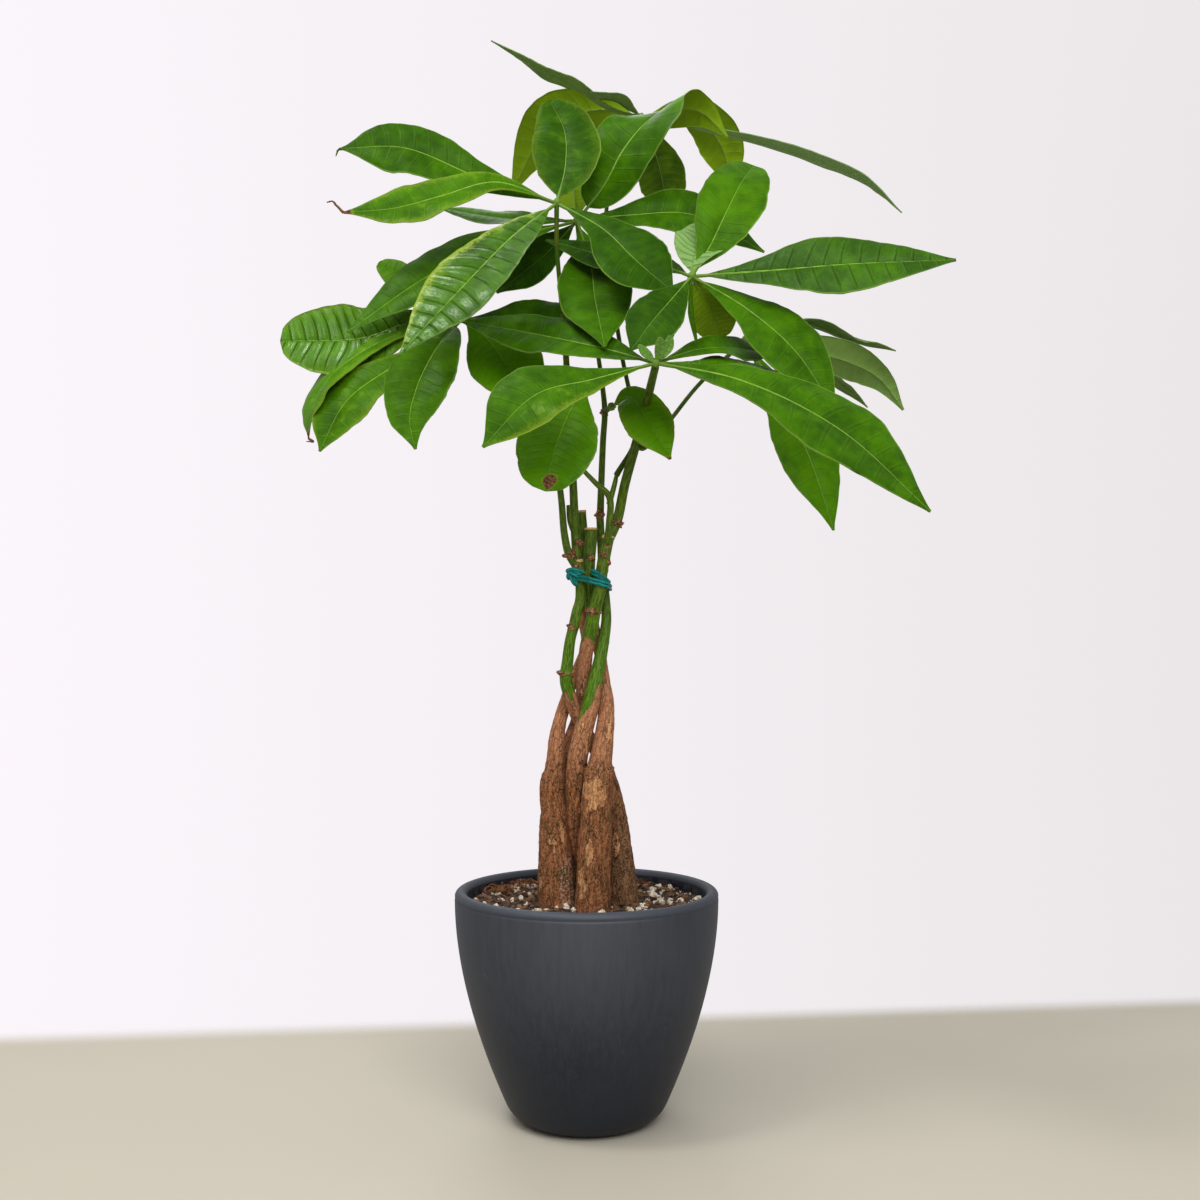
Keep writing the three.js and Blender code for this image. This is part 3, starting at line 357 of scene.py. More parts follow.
class Spline:
    """A centripetal Catmull-Rom curve through points."""

    def __init__(self, points, closed=False):
        self.points = [Vector(p[:3]) for p in points]
        self.closed = closed

    def at(self, t):
        points, count = self.points, len(self.points)
        place = (count if self.closed else count - 1) * t
        if self.closed:
            cell = int(math.floor(place))
        else:
            cell = min(int(place), count - 2)
        weight = place - cell
        if self.closed:
            p0, p1, p2, p3 = (points[(cell + k) % count] for k in (-1, 0, 1, 2))
        else:
            p1, p2 = points[cell], points[cell + 1]
            p0 = points[cell - 1] if cell else 2 * p1 - p2
            p3 = points[cell + 2] if cell + 2 < count else 2 * p2 - p1
        d0, d1, d2 = ((b - a).length_squared ** 0.25 for a, b in ((p0, p1), (p1, p2), (p2, p3)))
        t1 = ((p1 - p0) / d0 - (p2 - p0) / (d0 + d1) + (p2 - p1) / d1) * d1
        t2 = ((p2 - p1) / d1 - (p3 - p1) / (d1 + d2) + (p3 - p2) / d2) * d1
        c2 = 3 * (p2 - p1) - 2 * t1 - t2
        c3 = 2 * (p1 - p2) + t1 + t2
        return p1 + t1 * weight + c2 * weight ** 2 + c3 * weight ** 3

    def tangent(self, t):
        low, high = t - NEAR, t + NEAR
        if not self.closed:
            low, high = max(low, 0), min(high, 1)
        return (self.at(high) - self.at(low)).normalized()

    def length(self, steps=40):
        spots = [self.at(i / steps) for i in range(steps + 1)]
        return sum((b - a).length for a, b in zip(spots, spots[1:]))


def mix(a, b, t):
    return a + (b - a) * t


def clamp(value, low=0.0, high=1.0):
    return min(max(value, low), high)


def smooth(value, low, high):
    t = clamp((value - low) / (high - low))
    return t * t * (3 - 2 * t)


# ---------------------------------------------------------------- meshes

class Shape:
    """Vertices in millimetres and faces, with numbers kept for the materials."""

    def __init__(self):
        self.verts, self.faces, self.slots = [], [], []
        self.state, self.grain, self.uv = [], [], []

    def vert(self, place, state=(0, 0, 0, 0), grain=(0, 0, 0), uv=(0, 0)):
        self.verts.append(tuple(place))
        self.state.append(state)
        self.grain.append(tuple(grain))
        self.uv.append(uv)
        return len(self.verts) - 1

    def face(self, *corners, slot=0):
        self.faces.append(corners)
        self.slots.append(slot)

    def grid(self, rows, slot=0, flip=False, closed=False):
        """Joins rows of vertex numbers into quads."""
        for low, high in zip(rows, rows[1:]):
            count = len(low)
            for i in range(count if closed else count - 1):
                j = (i + 1) % count
                quad = (low[i], low[j], high[j], high[i])
                self.face(*(reversed(quad) if flip else quad), slot=slot)

    def build(self, name, materials, box=None, rounded=True):
        verts = self.verts
        if box:
            low, high = ([c / MM for c in corner] for corner in box)
            verts = [tuple(clamp(c, a + INSET, b - INSET) for c, a, b in zip(v, low, high))
                     for v in verts]
        mesh = bpy.data.meshes.new(name)
        mesh.from_pydata([tuple(c * MM for c in v) for v in verts], [], self.faces)
        mesh.attributes.new("state", "FLOAT_COLOR", "POINT").data.foreach_set(
            "color", [c for s in self.state for c in s])
        mesh.attributes.new("grain", "FLOAT_VECTOR", "POINT").data.foreach_set(
            "vector", [c for g in self.grain for c in g])
        layer = mesh.uv_layers.new(name="veins")
        corners = [c for face in self.faces for c in face]
        layer.data.foreach_set("uv", [c for i in corners for c in self.uv[i]])
        mesh.polygons.foreach_set("material_index", self.slots)
        mesh.polygons.foreach_set("use_smooth", [rounded] * len(self.faces))
        for material in materials:
            mesh.materials.append(material)
        mesh.update()
        piece = bpy.data.objects.new(name, mesh)
        bpy.context.scene.collection.objects.link(piece)
        return piece


def ring_frames(spline, shares):
    """Steady normals along a curve, turned as little as possible from one to the next."""
    normal = None
    for share in shares:
        tangent = spline.tangent(share)
        if normal is None:
            normal = tangent.orthogonal().normalized()
        normal = (normal - tangent * normal.dot(tangent)).normalized()
        yield share, spline.at(share), tangent, normal


def radius_at(route, share):
    place = share * (len(route) - 1)
    cell = min(int(place), len(route) - 2)
    return mix(route[cell][3], route[cell + 1][3], place - cell)


def tube(shape, route, sides, steps, relief=None, state=None, slot=0, closed=False):
    """A round limb along [x, y, z, radius]; relief(share, angle, spot) adds to its radius."""
    spline = Spline(route, closed)
    shares = [i / steps for i in range(steps if closed else steps + 1)]
    rows, along, last = [], 0.0, None
    for share, centre, tangent, normal in ring_frames(spline, shares):
        along += (centre - last).length if last else 0
        last = centre
        side = tangent.cross(normal)
        row = []
        radius = route[0][3] if closed else radius_at(route, share)
        for i in range(sides):
            angle = TURN * i / sides
            out = normal * math.cos(angle) + side * math.sin(angle)
            extra = relief(share, angle, centre + out * radius) if relief else 0
            spot = centre + out * (radius + extra)
            grain = (radius * math.cos(angle), radius * math.sin(angle), along)
            row.append(shape.vert(spot, state(share, spot, angle) if state else (0, 0, 0, 0),
                                  grain))
        rows.append(row)
    if closed:
        rows.append(rows[0])
    shape.grid(rows, slot=slot, closed=True)
    if not closed:
        for row, turn in ((rows[0], True), (rows[-1], False)):
            middle = sum((Vector(shape.verts[i]) for i in row), Vector()) / sides
            rim = [shape.vert(middle.lerp(Vector(shape.verts[i]), 0.9), shape.state[i],
                              shape.grain[i]) for i in row]
            for i in range(sides):
                j = (i + 1) % sides
                quad = (row[i], row[j], rim[j], rim[i])
                shape.face(*(reversed(quad) if turn else quad), slot=slot)
            shape.face(*(reversed(rim) if turn else rim), slot=slot)


def lump(shape, centre, size, seed, rings, sides, slot=0, state=(0, 0, 0, 0), rough=0.25,
         stretch=(1, 1, 1), turn=None):
    """A small uneven pebble-like body."""
    def vert(out):
        bump = 1 + rough * noise.noise(out * 1.7 + Vector((seed, 2 * seed, 3 * seed)))
        spot = Vector(c * s for c, s in zip(out, stretch)) * size * bump
        place = Vector(centre) + (turn @ spot if turn else spot)
        return shape.vert(place, state, place)

    rows = []
    for i in range(1, rings):
        polar = math.pi * i / rings
        row = []
        for j in range(sides):
            angle = TURN * (j + 0.5 * (i % 2)) / sides
            out = Vector((math.sin(polar) * math.cos(angle), math.sin(polar) * math.sin(angle),
                          math.cos(polar)))
            row.append(vert(out))
        rows.append(row)
    top, foot = vert(Vector((0, 0, 1))), vert(Vector((0, 0, -1)))
    shape.grid(rows, slot=slot, flip=True, closed=True)
    for j in range(sides):
        k = (j + 1) % sides
        shape.face(top, rows[0][j], rows[0][k], slot=slot)
        shape.face(foot, rows[-1][k], rows[-1][j], slot=slot)


# ---------------------------------------------------------------- materials

class Nodes:
    """Shorthand for building a material's node tree."""

    def __init__(self, name, roughness=0.5):
        self.material = bpy.data.materials.new(name)
        self.material.use_nodes = True
        self.tree = self.material.node_tree
        self.shader = self.tree.nodes["Principled BSDF"]
        self.shader.inputs["Roughness"].default_value = roughness

    def link(self, source, socket):
        """Gives a socket a number, a vector, a named colour or another socket."""
        if isinstance(source, str):
            socket.default_value = (*COLOURS[source], 1)
        elif isinstance(source, (int, float, tuple)):
            socket.default_value = source
        else:
            self.tree.links.new(source, socket)

    def node(self, kind, settings=None, *values, **named):
        made = self.tree.nodes.new("ShaderNode" + kind)
        for key, value in (settings or {}).items():
            setattr(made, key, value)
        for number, value in enumerate(values):
            self.link(value, made.inputs[number])
        for key, value in named.items():
            self.link(value, made.inputs[key.replace("_", " ")])
        return made

    def math(self, operation, a, b=0.0, c=0.0):
        return self.node("Math", {"operation": operation}, a, b, c).outputs[0]

    def times(self, a, b):
        return self.math("MULTIPLY", a, b)

    def plus(self, a, b):
        return self.math("ADD", a, b)

    def minus(self, a, b):
        return self.math("SUBTRACT", a, b)

    def size(self, a):
        return self.math("ABSOLUTE", a)

    def most(self, a, b):
        return self.math("MAXIMUM", a, b)

    def scale_add(self, a, factor, more):
        return self.math("MULTIPLY_ADD", a, factor, more)

    def stir(self, base, field, amount):
        """Shifts a value up and down with a noise field around a half."""
        return self.plus(base, self.times(self.minus(field, 0.5), amount))

    def ramp(self, value, low, high, start=0.0, end=1.0):
        """A smooth step from start to end as the value goes from low to high."""
        return self.node("MapRange", {"interpolation_type": "SMOOTHSTEP"}, Value=value,
                         From_Min=low, From_Max=high, To_Min=start, To_Max=end).outputs[0]

    def blend(self, share, a, b):
        made = self.node("Mix", {"data_type": "RGBA", "blend_type": "MIX"})
        for number, source in ((0, share), (6, a), (7, b)):
            self.link(source, made.inputs[number])
        return made.outputs[2]

    def over(self, colour, top, share, strength):
        """Lays a colour over another where share is high, at most by strength."""
        return self.blend(self.times(share, strength), colour, top)

    def noise(self, vector, scale, detail=3.0, rough=0.55, distort=0.0):
        return self.node("TexNoise", Vector=vector, Scale=scale, Detail=detail, Roughness=rough,
                         Distortion=distort).outputs[0]

    def cells(self, vector, scale, feature="F1"):
        return self.node("TexVoronoi", {"feature": feature}, Vector=vector, Scale=scale).outputs[0]

    def stretched(self, vector, x, y, z):
        return self.node("VectorMath", {"operation": "MULTIPLY"}, vector, (x, y, z)).outputs[0]

    def drawn_out(self, vector, share):
        """Draws a pattern out along the third axis."""
        return self.stretched(vector, 1, 1, share)

    def axes(self, vector):
        return self.node("SeparateXYZ", {}, vector).outputs[:3]

    def state(self):
        """The four numbers kept at each vertex."""
        kept = self.node("Attribute", {"attribute_name": "state"})
        parts = self.node("SeparateColor", {}, kept.outputs["Color"])
        return (*parts.outputs[:3], kept.outputs["Alpha"])

    def grain(self):
        """Places along and round a limb, or across and along a blade."""
        return self.node("Attribute", {"attribute_name": "grain"}).outputs["Vector"]

    def objects(self):
        """Places on the object, in millimetres."""
        coords = self.node("TexCoord").outputs["Object"]
        return self.stretched(coords, 1 / MM, 1 / MM, 1 / MM)

    def finish(self, colour, rough, height, distance):
        self.link(colour, self.shader.inputs["Base Color"])
        self.link(rough, self.shader.inputs["Roughness"])
        bump = self.node("Bump", Height=height, Distance=distance)
        self.link(bump.outputs[0], self.shader.inputs["Normal"])
        return self.material


def blade_faces(n, shade, veins, under, depth):
    """The greens of the upper and the lower side; veins are net, border, crease and rib."""
    net, border, crease, rib = veins
    top = n.blend(n.ramp(shade, 0.0, 1.0), "blade_dark", "blade_light")
    top = n.over(top, "blade_net", net, 0.08)
    top = n.over(top, "blade_vein", border, 0.13)
    # Painted shade: the side-vein creases are painted darker, as strongly as depth says.
    top = n.over(top, "blade_crease_painted_shade", crease, depth)
    top = n.over(top, "blade_rib", rib, 0.85)
    # The lower side's greens are the paler underside colour, brightened further as painted light
    # standing in for light shining through the blade.
    back = n.blend(n.ramp(shade, 0.2, 1.0), "back_dark", "back_light")
    back = n.over(back, "back_net", net, 0.2)
    back = n.over(back, "back_vein", border, 0.3)
    back = n.over(back, "back_rib", rib, 0.8)
    return n.blend(under, top, back)


def blade_ageing(n, colour, margin, fine, blotch, yellow, brown):
    """Yellowing from the margins and in blotches, then brown dead ends; also how dead."""
    rim = n.ramp(n.plus(margin, n.times(fine, 0.6)), 0.95, 1.3)
    mottle = n.ramp(blotch, 0.56, 0.66)
    aged = n.times(yellow, n.most(rim, n.times(mottle, 0.5)))
    colour = n.blend(aged, colour, "leaf_aged")
    worn = n.stir(brown, fine, 0.6)
    dead = n.ramp(worn, 0.45, 0.6)
    colour = n.over(colour, "leaf_dying", n.ramp(worn, 0.3, 0.45), 0.7)
    withered = n.blend(n.ramp(fine, 0.35, 0.65), "dead_dark", "dead_light")
    return n.blend(dead, colour, withered), dead


def leaf_material(name, base_rough, gloss, depth, groove):
    """A waxy blade: pale midrib, creased side veins with painted shade in the creases, fine net, a
    painted highlight along the margins, aged margins and tips.
    """
    n = Nodes(name)
    tone, under, brown, yellow = n.state()
    side, share, pale = n.axes(n.grain())
    reach, phase, _ = n.axes(n.node("UVMap", {"uv_map": "veins"}).outputs[0])
    margin = n.size(side)
    place = n.objects()
    broad = n.noise(place, 0.035, 2)
    fine = n.noise(place, 0.6, 4)
    blotch = n.noise(place, 0.11, 4, 0.6)

    gap = n.math("PINGPONG", phase, 0.5)
    fade = n.ramp(margin, 0.6, 0.98, 1, 0.15)
    crease = n.times(n.ramp(gap, 0.0, 0.09, 1, 0), fade)
    border = n.times(n.ramp(n.size(n.minus(gap, 0.1)), 0.0, 0.06, 1, 0), fade)
    rib_edge = n.scale_add(share, -0.05, 0.08)
    rib = n.ramp(n.minus(n.size(reach), rib_edge), -0.04, 0.0, 1, 0)
    net = n.ramp(n.cells(place, 0.7, "DISTANCE_TO_EDGE"), 0.0, 0.05, 1, 0)

    # Partly painted light: tone, set for each leaflet, picks between the shaded and lit greens and
    # is raised on leaflets lying in shade.
    shade = n.stir(n.stir(tone, broad, 0.6), blotch, 0.7)
    colour = blade_faces(n, shade, (net, border, crease, rib), under, depth)
    # Painted highlight: a thin lighter line along the margin.
    colour = n.over(colour, "leaf_edge_painted_highlight", n.ramp(margin, 0.95, 0.985), 0.5)
    # pale is partly the paler tint of young leaflets and grey undersides, partly painted light that
    # brightens undersides seen in shade.
    colour = n.over(colour, "leaf_pale_and_painted_light", pale, 0.8)
    colour, dead = blade_ageing(n, colour, margin, fine, blotch, yellow, brown)
    colour = n.over(colour, "leaf_speck", n.ramp(n.cells(place, 0.13), 0.03, 0.07, 1, 0), 0.3)

    rough = n.scale_add(fine, 0.16, base_rough)
    rough = n.plus(rough, n.times(under, 0.22))
    rough = n.plus(rough, n.times(dead, 0.3))
    height = n.scale_add(crease, -0.6 * groove, n.times(n.ramp(gap, 0.0, 0.35), 0.4 * groove))
    for pattern, amount in ((net, -0.12), (rib, -0.4), (fine, 0.2)):
        height = n.scale_add(pattern, amount, height)
    n.shader.inputs["Specular IOR Level"].default_value = gloss
    n.shader.inputs["Specular Tint"].default_value = (0.85, 1.0, 0.75, 1)
    return n.finish(colour, rough, height, 0.0006)


def stem_material():
    """Smooth green stalks, paler where they join a blade, brown where they have dried."""
    n = Nodes("green_stem")
    joint, _, dried, _ = n.state()
    streak = n.noise(n.drawn_out(n.grain(), 0.08), 1.3, 3)
    broad = n.noise(n.objects(), 0.06, 2)
    colour = n.blend(streak, "stem_dark", "stem_light")
    colour = n.blend(n.ramp(broad, 0.45, 0.75), colour, "stem_olive")
    colour = n.blend(joint, colour, "stem_joint")
    colour = n.blend(dried, colour, n.blend(streak, "stem_dead_dark", "stem_dead_light"))
    n.shader.inputs["Specular IOR Level"].default_value = 0.15
    n.shader.inputs["Specular Tint"].default_value = (0.85, 1.0, 0.75, 1)
    return n.finish(colour, n.scale_add(streak, 0.2, 0.38), streak, 0.0002)


class Bark(Nodes):
    """The patterns that the layers of bark and skin share, and those layers."""

    def __init__(self):
        super().__init__("bark")
        self.green, self.peel, self.scar, self.chalk = self.state()
        self.across, _, self.high = self.axes(self.objects())
        grain = self.grain()
        self.fibre = self.noise(self.drawn_out(grain, 0.3), 0.5, 6, 0.7, 0.3)
        self.thread = self.noise(self.drawn_out(grain, 0.14), 1.4, 4, 0.65)
        self.patch = self.noise(self.drawn_out(grain, 0.5), 0.1, 4, 0.6, 0.6)
        self.grit = self.noise(grain, 0.75, 5, 0.75)
        self.flake = self.noise(self.drawn_out(grain, 0.5), 0.3, 4, 0.65)
        crack = self.cells(self.drawn_out(grain, 0.28), 0.42, "DISTANCE_TO_EDGE")
        self.crack = self.times(self.ramp(crack, 0.0, 0.06, 1, 0), self.ramp(self.patch, 0.4, 0.6))
        bumps = self.cells(self.drawn_out(grain, 0.7), 0.42)
        self.bump = self.times(self.ramp(bumps, 0.1, 0.3, 1, 0), self.ramp(self.grit, 0.45, 0.55))
        self.pit = self.ramp(self.cells(self.drawn_out(grain, 0.55), 0.5), 0.1, 0.26, 1, 0)
        self.dot = self.ramp(self.cells(self.drawn_out(grain, 0.45), 0.36), 0.08, 0.15, 1, 0)
        self.rugged = self.plus(self.times(self.fibre, 0.45), self.times(self.grit, 0.55))
        self.young = self.ramp(self.high, 198, 232)

    def old(self):
        """Orange-brown bark: greyer and darker low on the right, partly weathered bark and partly
        painted shade, smoother and paler higher up.
        """
        brown = self.blend(self.ramp(self.rugged, 0.40, 0.62), "bark_dark", "bark_light")
        brown = self.over(brown, "bark_olive", self.ramp(self.patch, 0.5, 0.66), 0.45)
        # Partly painted shade: low on the right the bark turns a darker grey, where the side trunks
        # lie in shade.
        weathered_and_shaded = self.times(self.ramp(self.across, 11, 20),
                               self.ramp(self.high, 150, 225, 0.75, 0))
        grey = self.blend(self.ramp(self.rugged, 0.40, 0.62), "weathered_shaded_dark", "weathered_shaded_light")
        brown = self.blend(weathered_and_shaded, brown, grey)
        smoothed = self.blend(self.ramp(self.rugged, 0.36, 0.66), "young_dark", "young_light")
        brown = self.over(brown, smoothed, self.young, 0.88)
        brown = self.over(brown, "bark_knob", self.bump, 0.6)
        brown = self.over(brown, "bark_thread", self.ramp(self.thread, 0.56, 0.72), 0.4)
        hollow = self.times(self.ramp(self.thread, 0.34, 0.44, 0.35, 0),
                            self.ramp(self.young, 0, 1, 1, 0.3))
        brown = self.blend(hollow, brown, "bark_hollow")
        brown = self.over(brown, "bark_pit", self.pit, 0.35)
        return self.over(brown, "bark_crack", self.crack, 0.6)

    def peeled(self, brown):
        """Bare tan wood with a dark rim where the bark has come off; also how bare it is."""
        torn = self.stir(self.peel, self.fibre, 1.1)
        torn = self.stir(torn, self.flake, 2.0)
        bare = self.ramp(torn, 0.50, 0.53)
        edge = self.times(self.ramp(torn, 0.40, 0.49), self.ramp(torn, 0.50, 0.56, 1, 0))
        tan = self.blend(self.ramp(self.rugged, 0.38, 0.62), "bare_dark", "bare_light")
        wood = self.over(brown, tan, bare, 0.85)
        wood = self.over(wood, "bare_rim", edge, 0.75)
        dusty = self.times(self.ramp(self.chalk, 0, 0.6), self.ramp(self.grit, 0.5, 0.58))
        wood = self.over(wood, "bark_chalk", dusty, 0.5)
        return self.over(wood, "bark_dot", self.dot, 0.4), bare

    def skin(self):
        """Smooth green skin, more olive higher up, with pale dots."""
        skin = self.blend(self.ramp(self.thread, 0.36, 0.64), "skin_dark", "skin_light")
        skin = self.blend(self.ramp(self.patch, 0.5, 0.75), skin, "skin_patch")
        olive = self.blend(self.ramp(self.thread, 0.3, 0.75), "olive_dark", "olive_light")
        skin = self.over(skin, olive, self.ramp(self.high, 285, 325), 0.7)
        skin = self.over(skin, "skin_fleck", self.ramp(self.grit, 0.56, 0.66), 0.3)
        return self.over(skin, "skin_dot", self.dot, 0.55)

    def height(self, living, bare, cork):
        height = self.scale_add(self.bump, 0.5, self.scale_add(self.thread, 0.4, self.rugged))
        sunk = self.plus(self.times(self.crack, 0.6), self.times(self.pit, 0.4))
        height = self.times(self.minus(height, sunk), self.ramp(self.young, 0, 1, 1.0, 0.45))
        height = self.times(height, self.ramp(living, 0, 1, 1.0, 0.1))
        for share, amount in ((bare, -0.45), (self.dot, 0.25), (cork, 0.4)):
            height = self.scale_add(share, amount, height)
        return height


def bark_material():
    """Rough orange-brown bark with bare tan patches below, smooth green skin above."""
    n = Bark()
    wood, bare = n.peeled(n.old())
    ragged = n.stir(n.green, n.patch, 1.6)
    ragged = n.stir(ragged, n.fibre, 0.7)
    living = n.ramp(ragged, 0.46, 0.54)
    colour = n.blend(living, wood, n.skin())
    cork = n.ramp(n.stir(n.scar, n.grit, 0.9), 0.4, 0.6)
    colour = n.blend(cork, colour, n.blend(n.ramp(n.grit, 0.4, 0.6), "cork_dark", "cork_light"))
    colour = n.over(colour, "cut_wood", cork, n.ramp(n.chalk, 0.4, 0.8))
    n.shader.inputs["Specular IOR Level"].default_value = 0.15
    rough = n.ramp(living, 0, 1, 0.8, 0.45)
    return n.finish(colour, rough, n.height(living, bare, cork), 0.0018)


def pot_material():
    """Matte navy charcoal with fine upright brush marks, dust, scratches and pale specks; a painted
    highlight high on the wall and on the lip, painted shade at the foot and inside.
    """
    n = Nodes("pot_charcoal")
    place = n.objects()
    streak = n.noise(n.drawn_out(place, 0.08), 0.35, 5, 0.65)
    hair = n.noise(n.drawn_out(place, 0.05), 1.2, 3, 0.6)
    cloud = n.noise(place, 0.02, 3)
    speck = n.ramp(n.cells(place, 0.11), 0.02, 0.06, 1, 0)
    scratch = n.cells(n.drawn_out(place, 0.35), 0.035, "DISTANCE_TO_EDGE")
    scratch = n.times(n.ramp(scratch, 0.0, 0.006, 1, 0),
                      n.ramp(n.noise(place, 0.05, 2), 0.62, 0.68))
    colour = n.blend(n.ramp(streak, 0.35, 0.65), "pot_dark", "pot_light")
    colour = n.over(colour, "pot_hair", n.ramp(hair, 0.5, 0.7), 0.2)
    colour = n.over(colour, "pot_cloud", n.ramp(cloud, 0.45, 0.7), 0.3)
    colour = n.over(colour, "pot_mark", n.most(speck, scratch), 0.3)
    across, _, high = n.axes(place)
    # Painted highlight: the wall is painted lighter towards the top and towards the middle of its
    # front and back.
    painted_highlight = n.ramp(n.size(across), 0, 75, 0.85, 0.35)
    painted_highlight = n.times(painted_highlight, n.ramp(high, 40, 126))
    painted_highlight = n.times(painted_highlight, n.ramp(streak, 0.3, 0.7, 0.9, 1.05))
    colour = n.blend(painted_highlight, colour, "pot_painted_highlight")
    # Painted shade: the wall is painted darker towards the foot.
    colour = n.blend(n.ramp(high, 0, 90, 0.7, 0), colour, "pot_foot_painted_shade")
    # Painted highlight: the band of the lip above the groove is painted lighter.
    colour = n.over(colour, "pot_lip", n.ramp(high, 133.4, 134.0), 0.6)
    inside, dusty, _, _ = n.state()
    # Painted shade: the inside wall is painted darker than the outside.
    colour = n.blend(inside, colour, "pot_inside_painted_shade")
    dust = n.times(dusty, n.ramp(n.noise(place, 0.2, 4), 0.4, 0.65))
    colour = n.over(colour, "pot_dust", dust, 0.3)
    rough = n.scale_add(streak, 0.2, 0.44)
    height = n.plus(n.times(streak, 0.7), n.times(hair, 0.3))
    n.shader.inputs["Specular IOR Level"].default_value = 0.38
    n.shader.inputs["Specular Tint"].default_value = (0.86, 0.92, 1.0, 1)
    return n.finish(colour, rough, height, 0.0001)


def soil_material():
    """Dark crumbs of potting mix, with painted shade blackening the low gaps between the clods."""
    n = Nodes("soil_mix")
    place = n.objects()
    crumb = n.noise(place, 0.35, 6, 0.7)
    clod = n.cells(place, 0.28)
    colour = n.blend(n.ramp(crumb, 0.35, 0.7), "soil_dark", "soil_light")
    # Painted shade: the low gaps between the clods are painted near black.
    colour = n.blend(n.ramp(clod, 0.5, 0.9), colour, "soil_gap_painted_shade")
    return n.finish(colour, 0.92, n.minus(crumb, clod), 0.002)


def grit_material():
    """Perlite: porous cream-white grains."""
    n = Nodes("perlite")
    place = n.objects()
    pore = n.cells(place, 1.6)
    fine = n.noise(place, 0.5, 5)
    colour = n.blend(n.ramp(fine, 0.35, 0.75), "grit_dark", "grit_light")
    colour = n.blend(n.ramp(pore, 0.15, 0.3, 0.5, 0), colour, "grit_pore")
    return n.finish(colour, 0.85, pore, 0.0004)


def chip_material():
    """Shreds of bark and wood in mixed browns."""
    n = Nodes("bark_chips")
    place = n.objects()
    light_share = n.state()[0]
    fibre = n.noise(n.stretched(place, 1, 0.3, 1), 0.8, 5)
    dark = n.blend(fibre, "chip_dark", "chip_mid")
    light = n.blend(fibre, "chip_red", "chip_light")
    return n.finish(n.blend(light_share, dark, light), 0.88, fibre, 0.0006)


def fibre_material():
    """Brown coconut fibre, lighter in places."""
    n = Nodes("coco_fibre")
    place = n.objects()
    tint = n.noise(place, 0.12, 3)
    colour = n.blend(n.ramp(tint, 0.35, 0.65), "fibre_dark", "fibre_light")
    return n.finish(colour, 0.8, n.noise(place, 2, 3), 0.0002)


def tie_material():
    """Teal cord whose fine strands are painted in a shaded and a lit teal: painted shade and light
    along the ply.
    """
    n = Nodes("teal_cord")
    place = n.objects()
    tint = n.noise(place, 0.5, 4)
    ply = n.ramp(n.noise(n.drawn_out(n.grain(), 0.15), 2.0, 3), 0.38, 0.62)
    # Painted shade and light: the ply stripes mix a shaded and a lit copy of the teal.
    colour = n.blend(ply, "cord_shaded_teal", "cord_lit_teal")
    n.shader.inputs["Specular IOR Level"].default_value = 0.25
    return n.finish(colour, n.scale_add(tint, 0.25, 0.28), tint, 0.0002)


def floor_material():
    """A pale stone-coloured table top that fades into the white at its far edge."""
    n = Nodes("pale_floor", 0.6)
    coords = n.node("TexCoord").outputs["Object"]
    across, depth, _ = n.axes(coords)
    reach = n.scale_add(across, -FLOOR["slant"], depth)
    far = n.ramp(reach, FLOOR["edge"] - FLOOR["blur"], FLOOR["edge"] + FLOOR["blur"])
    cloud = n.noise(coords, 3, 3)
    n.link(n.blend(cloud, "floor_dark", "floor_light"), n.shader.inputs["Base Color"])
    gone = n.node("BsdfTransparent")
    merged = n.node("MixShader", {}, far, n.shader.outputs[0], gone.outputs[0])
    n.link(merged.outputs[0], n.tree.nodes["Material Output"].inputs["Surface"])
    return n.material


# ---------------------------------------------------------------- camera and light

def make_camera():
    data = bpy.data.cameras.new("camera")
    data.sensor_width = CAMERA["sensor"]
    data.lens = CAMERA["lens"]
    camera = bpy.data.objects.new("camera", data)
    camera.location = Vector(CAMERA["place"]) * MM
    camera.rotation_euler = (math.radians(90 + CAMERA["pitch"]), 0, -math.radians(CAMERA["yaw"]))
    bpy.context.scene.collection.objects.link(camera)
    bpy.context.scene.camera = camera


def area_light(name, place, target, size, power, colour):
    data = bpy.data.lights.new(name, "AREA")
    data.size = size
    data.energy = power
    data.color = colour
    lamp = bpy.data.objects.new(name, data)
    lamp.location = place
    lamp.rotation_euler = (Vector(target) - Vector(place)).to_track_quat("-Z", "Y").to_euler()
    bpy.context.scene.collection.objects.link(lamp)


def make_stage():
    shape = Shape()
    span = FLOOR["span"]
    signs = ((-1, -1), (1, -1), (1, 1), (-1, 1))
    shape.face(*[shape.vert((x * span, y * span, 0)) for x, y in signs])
    floor = shape.build("floor", [floor_material()])
    make_backdrop()
    for name, settings in LAMPS.items():
        area_light(name, *settings)


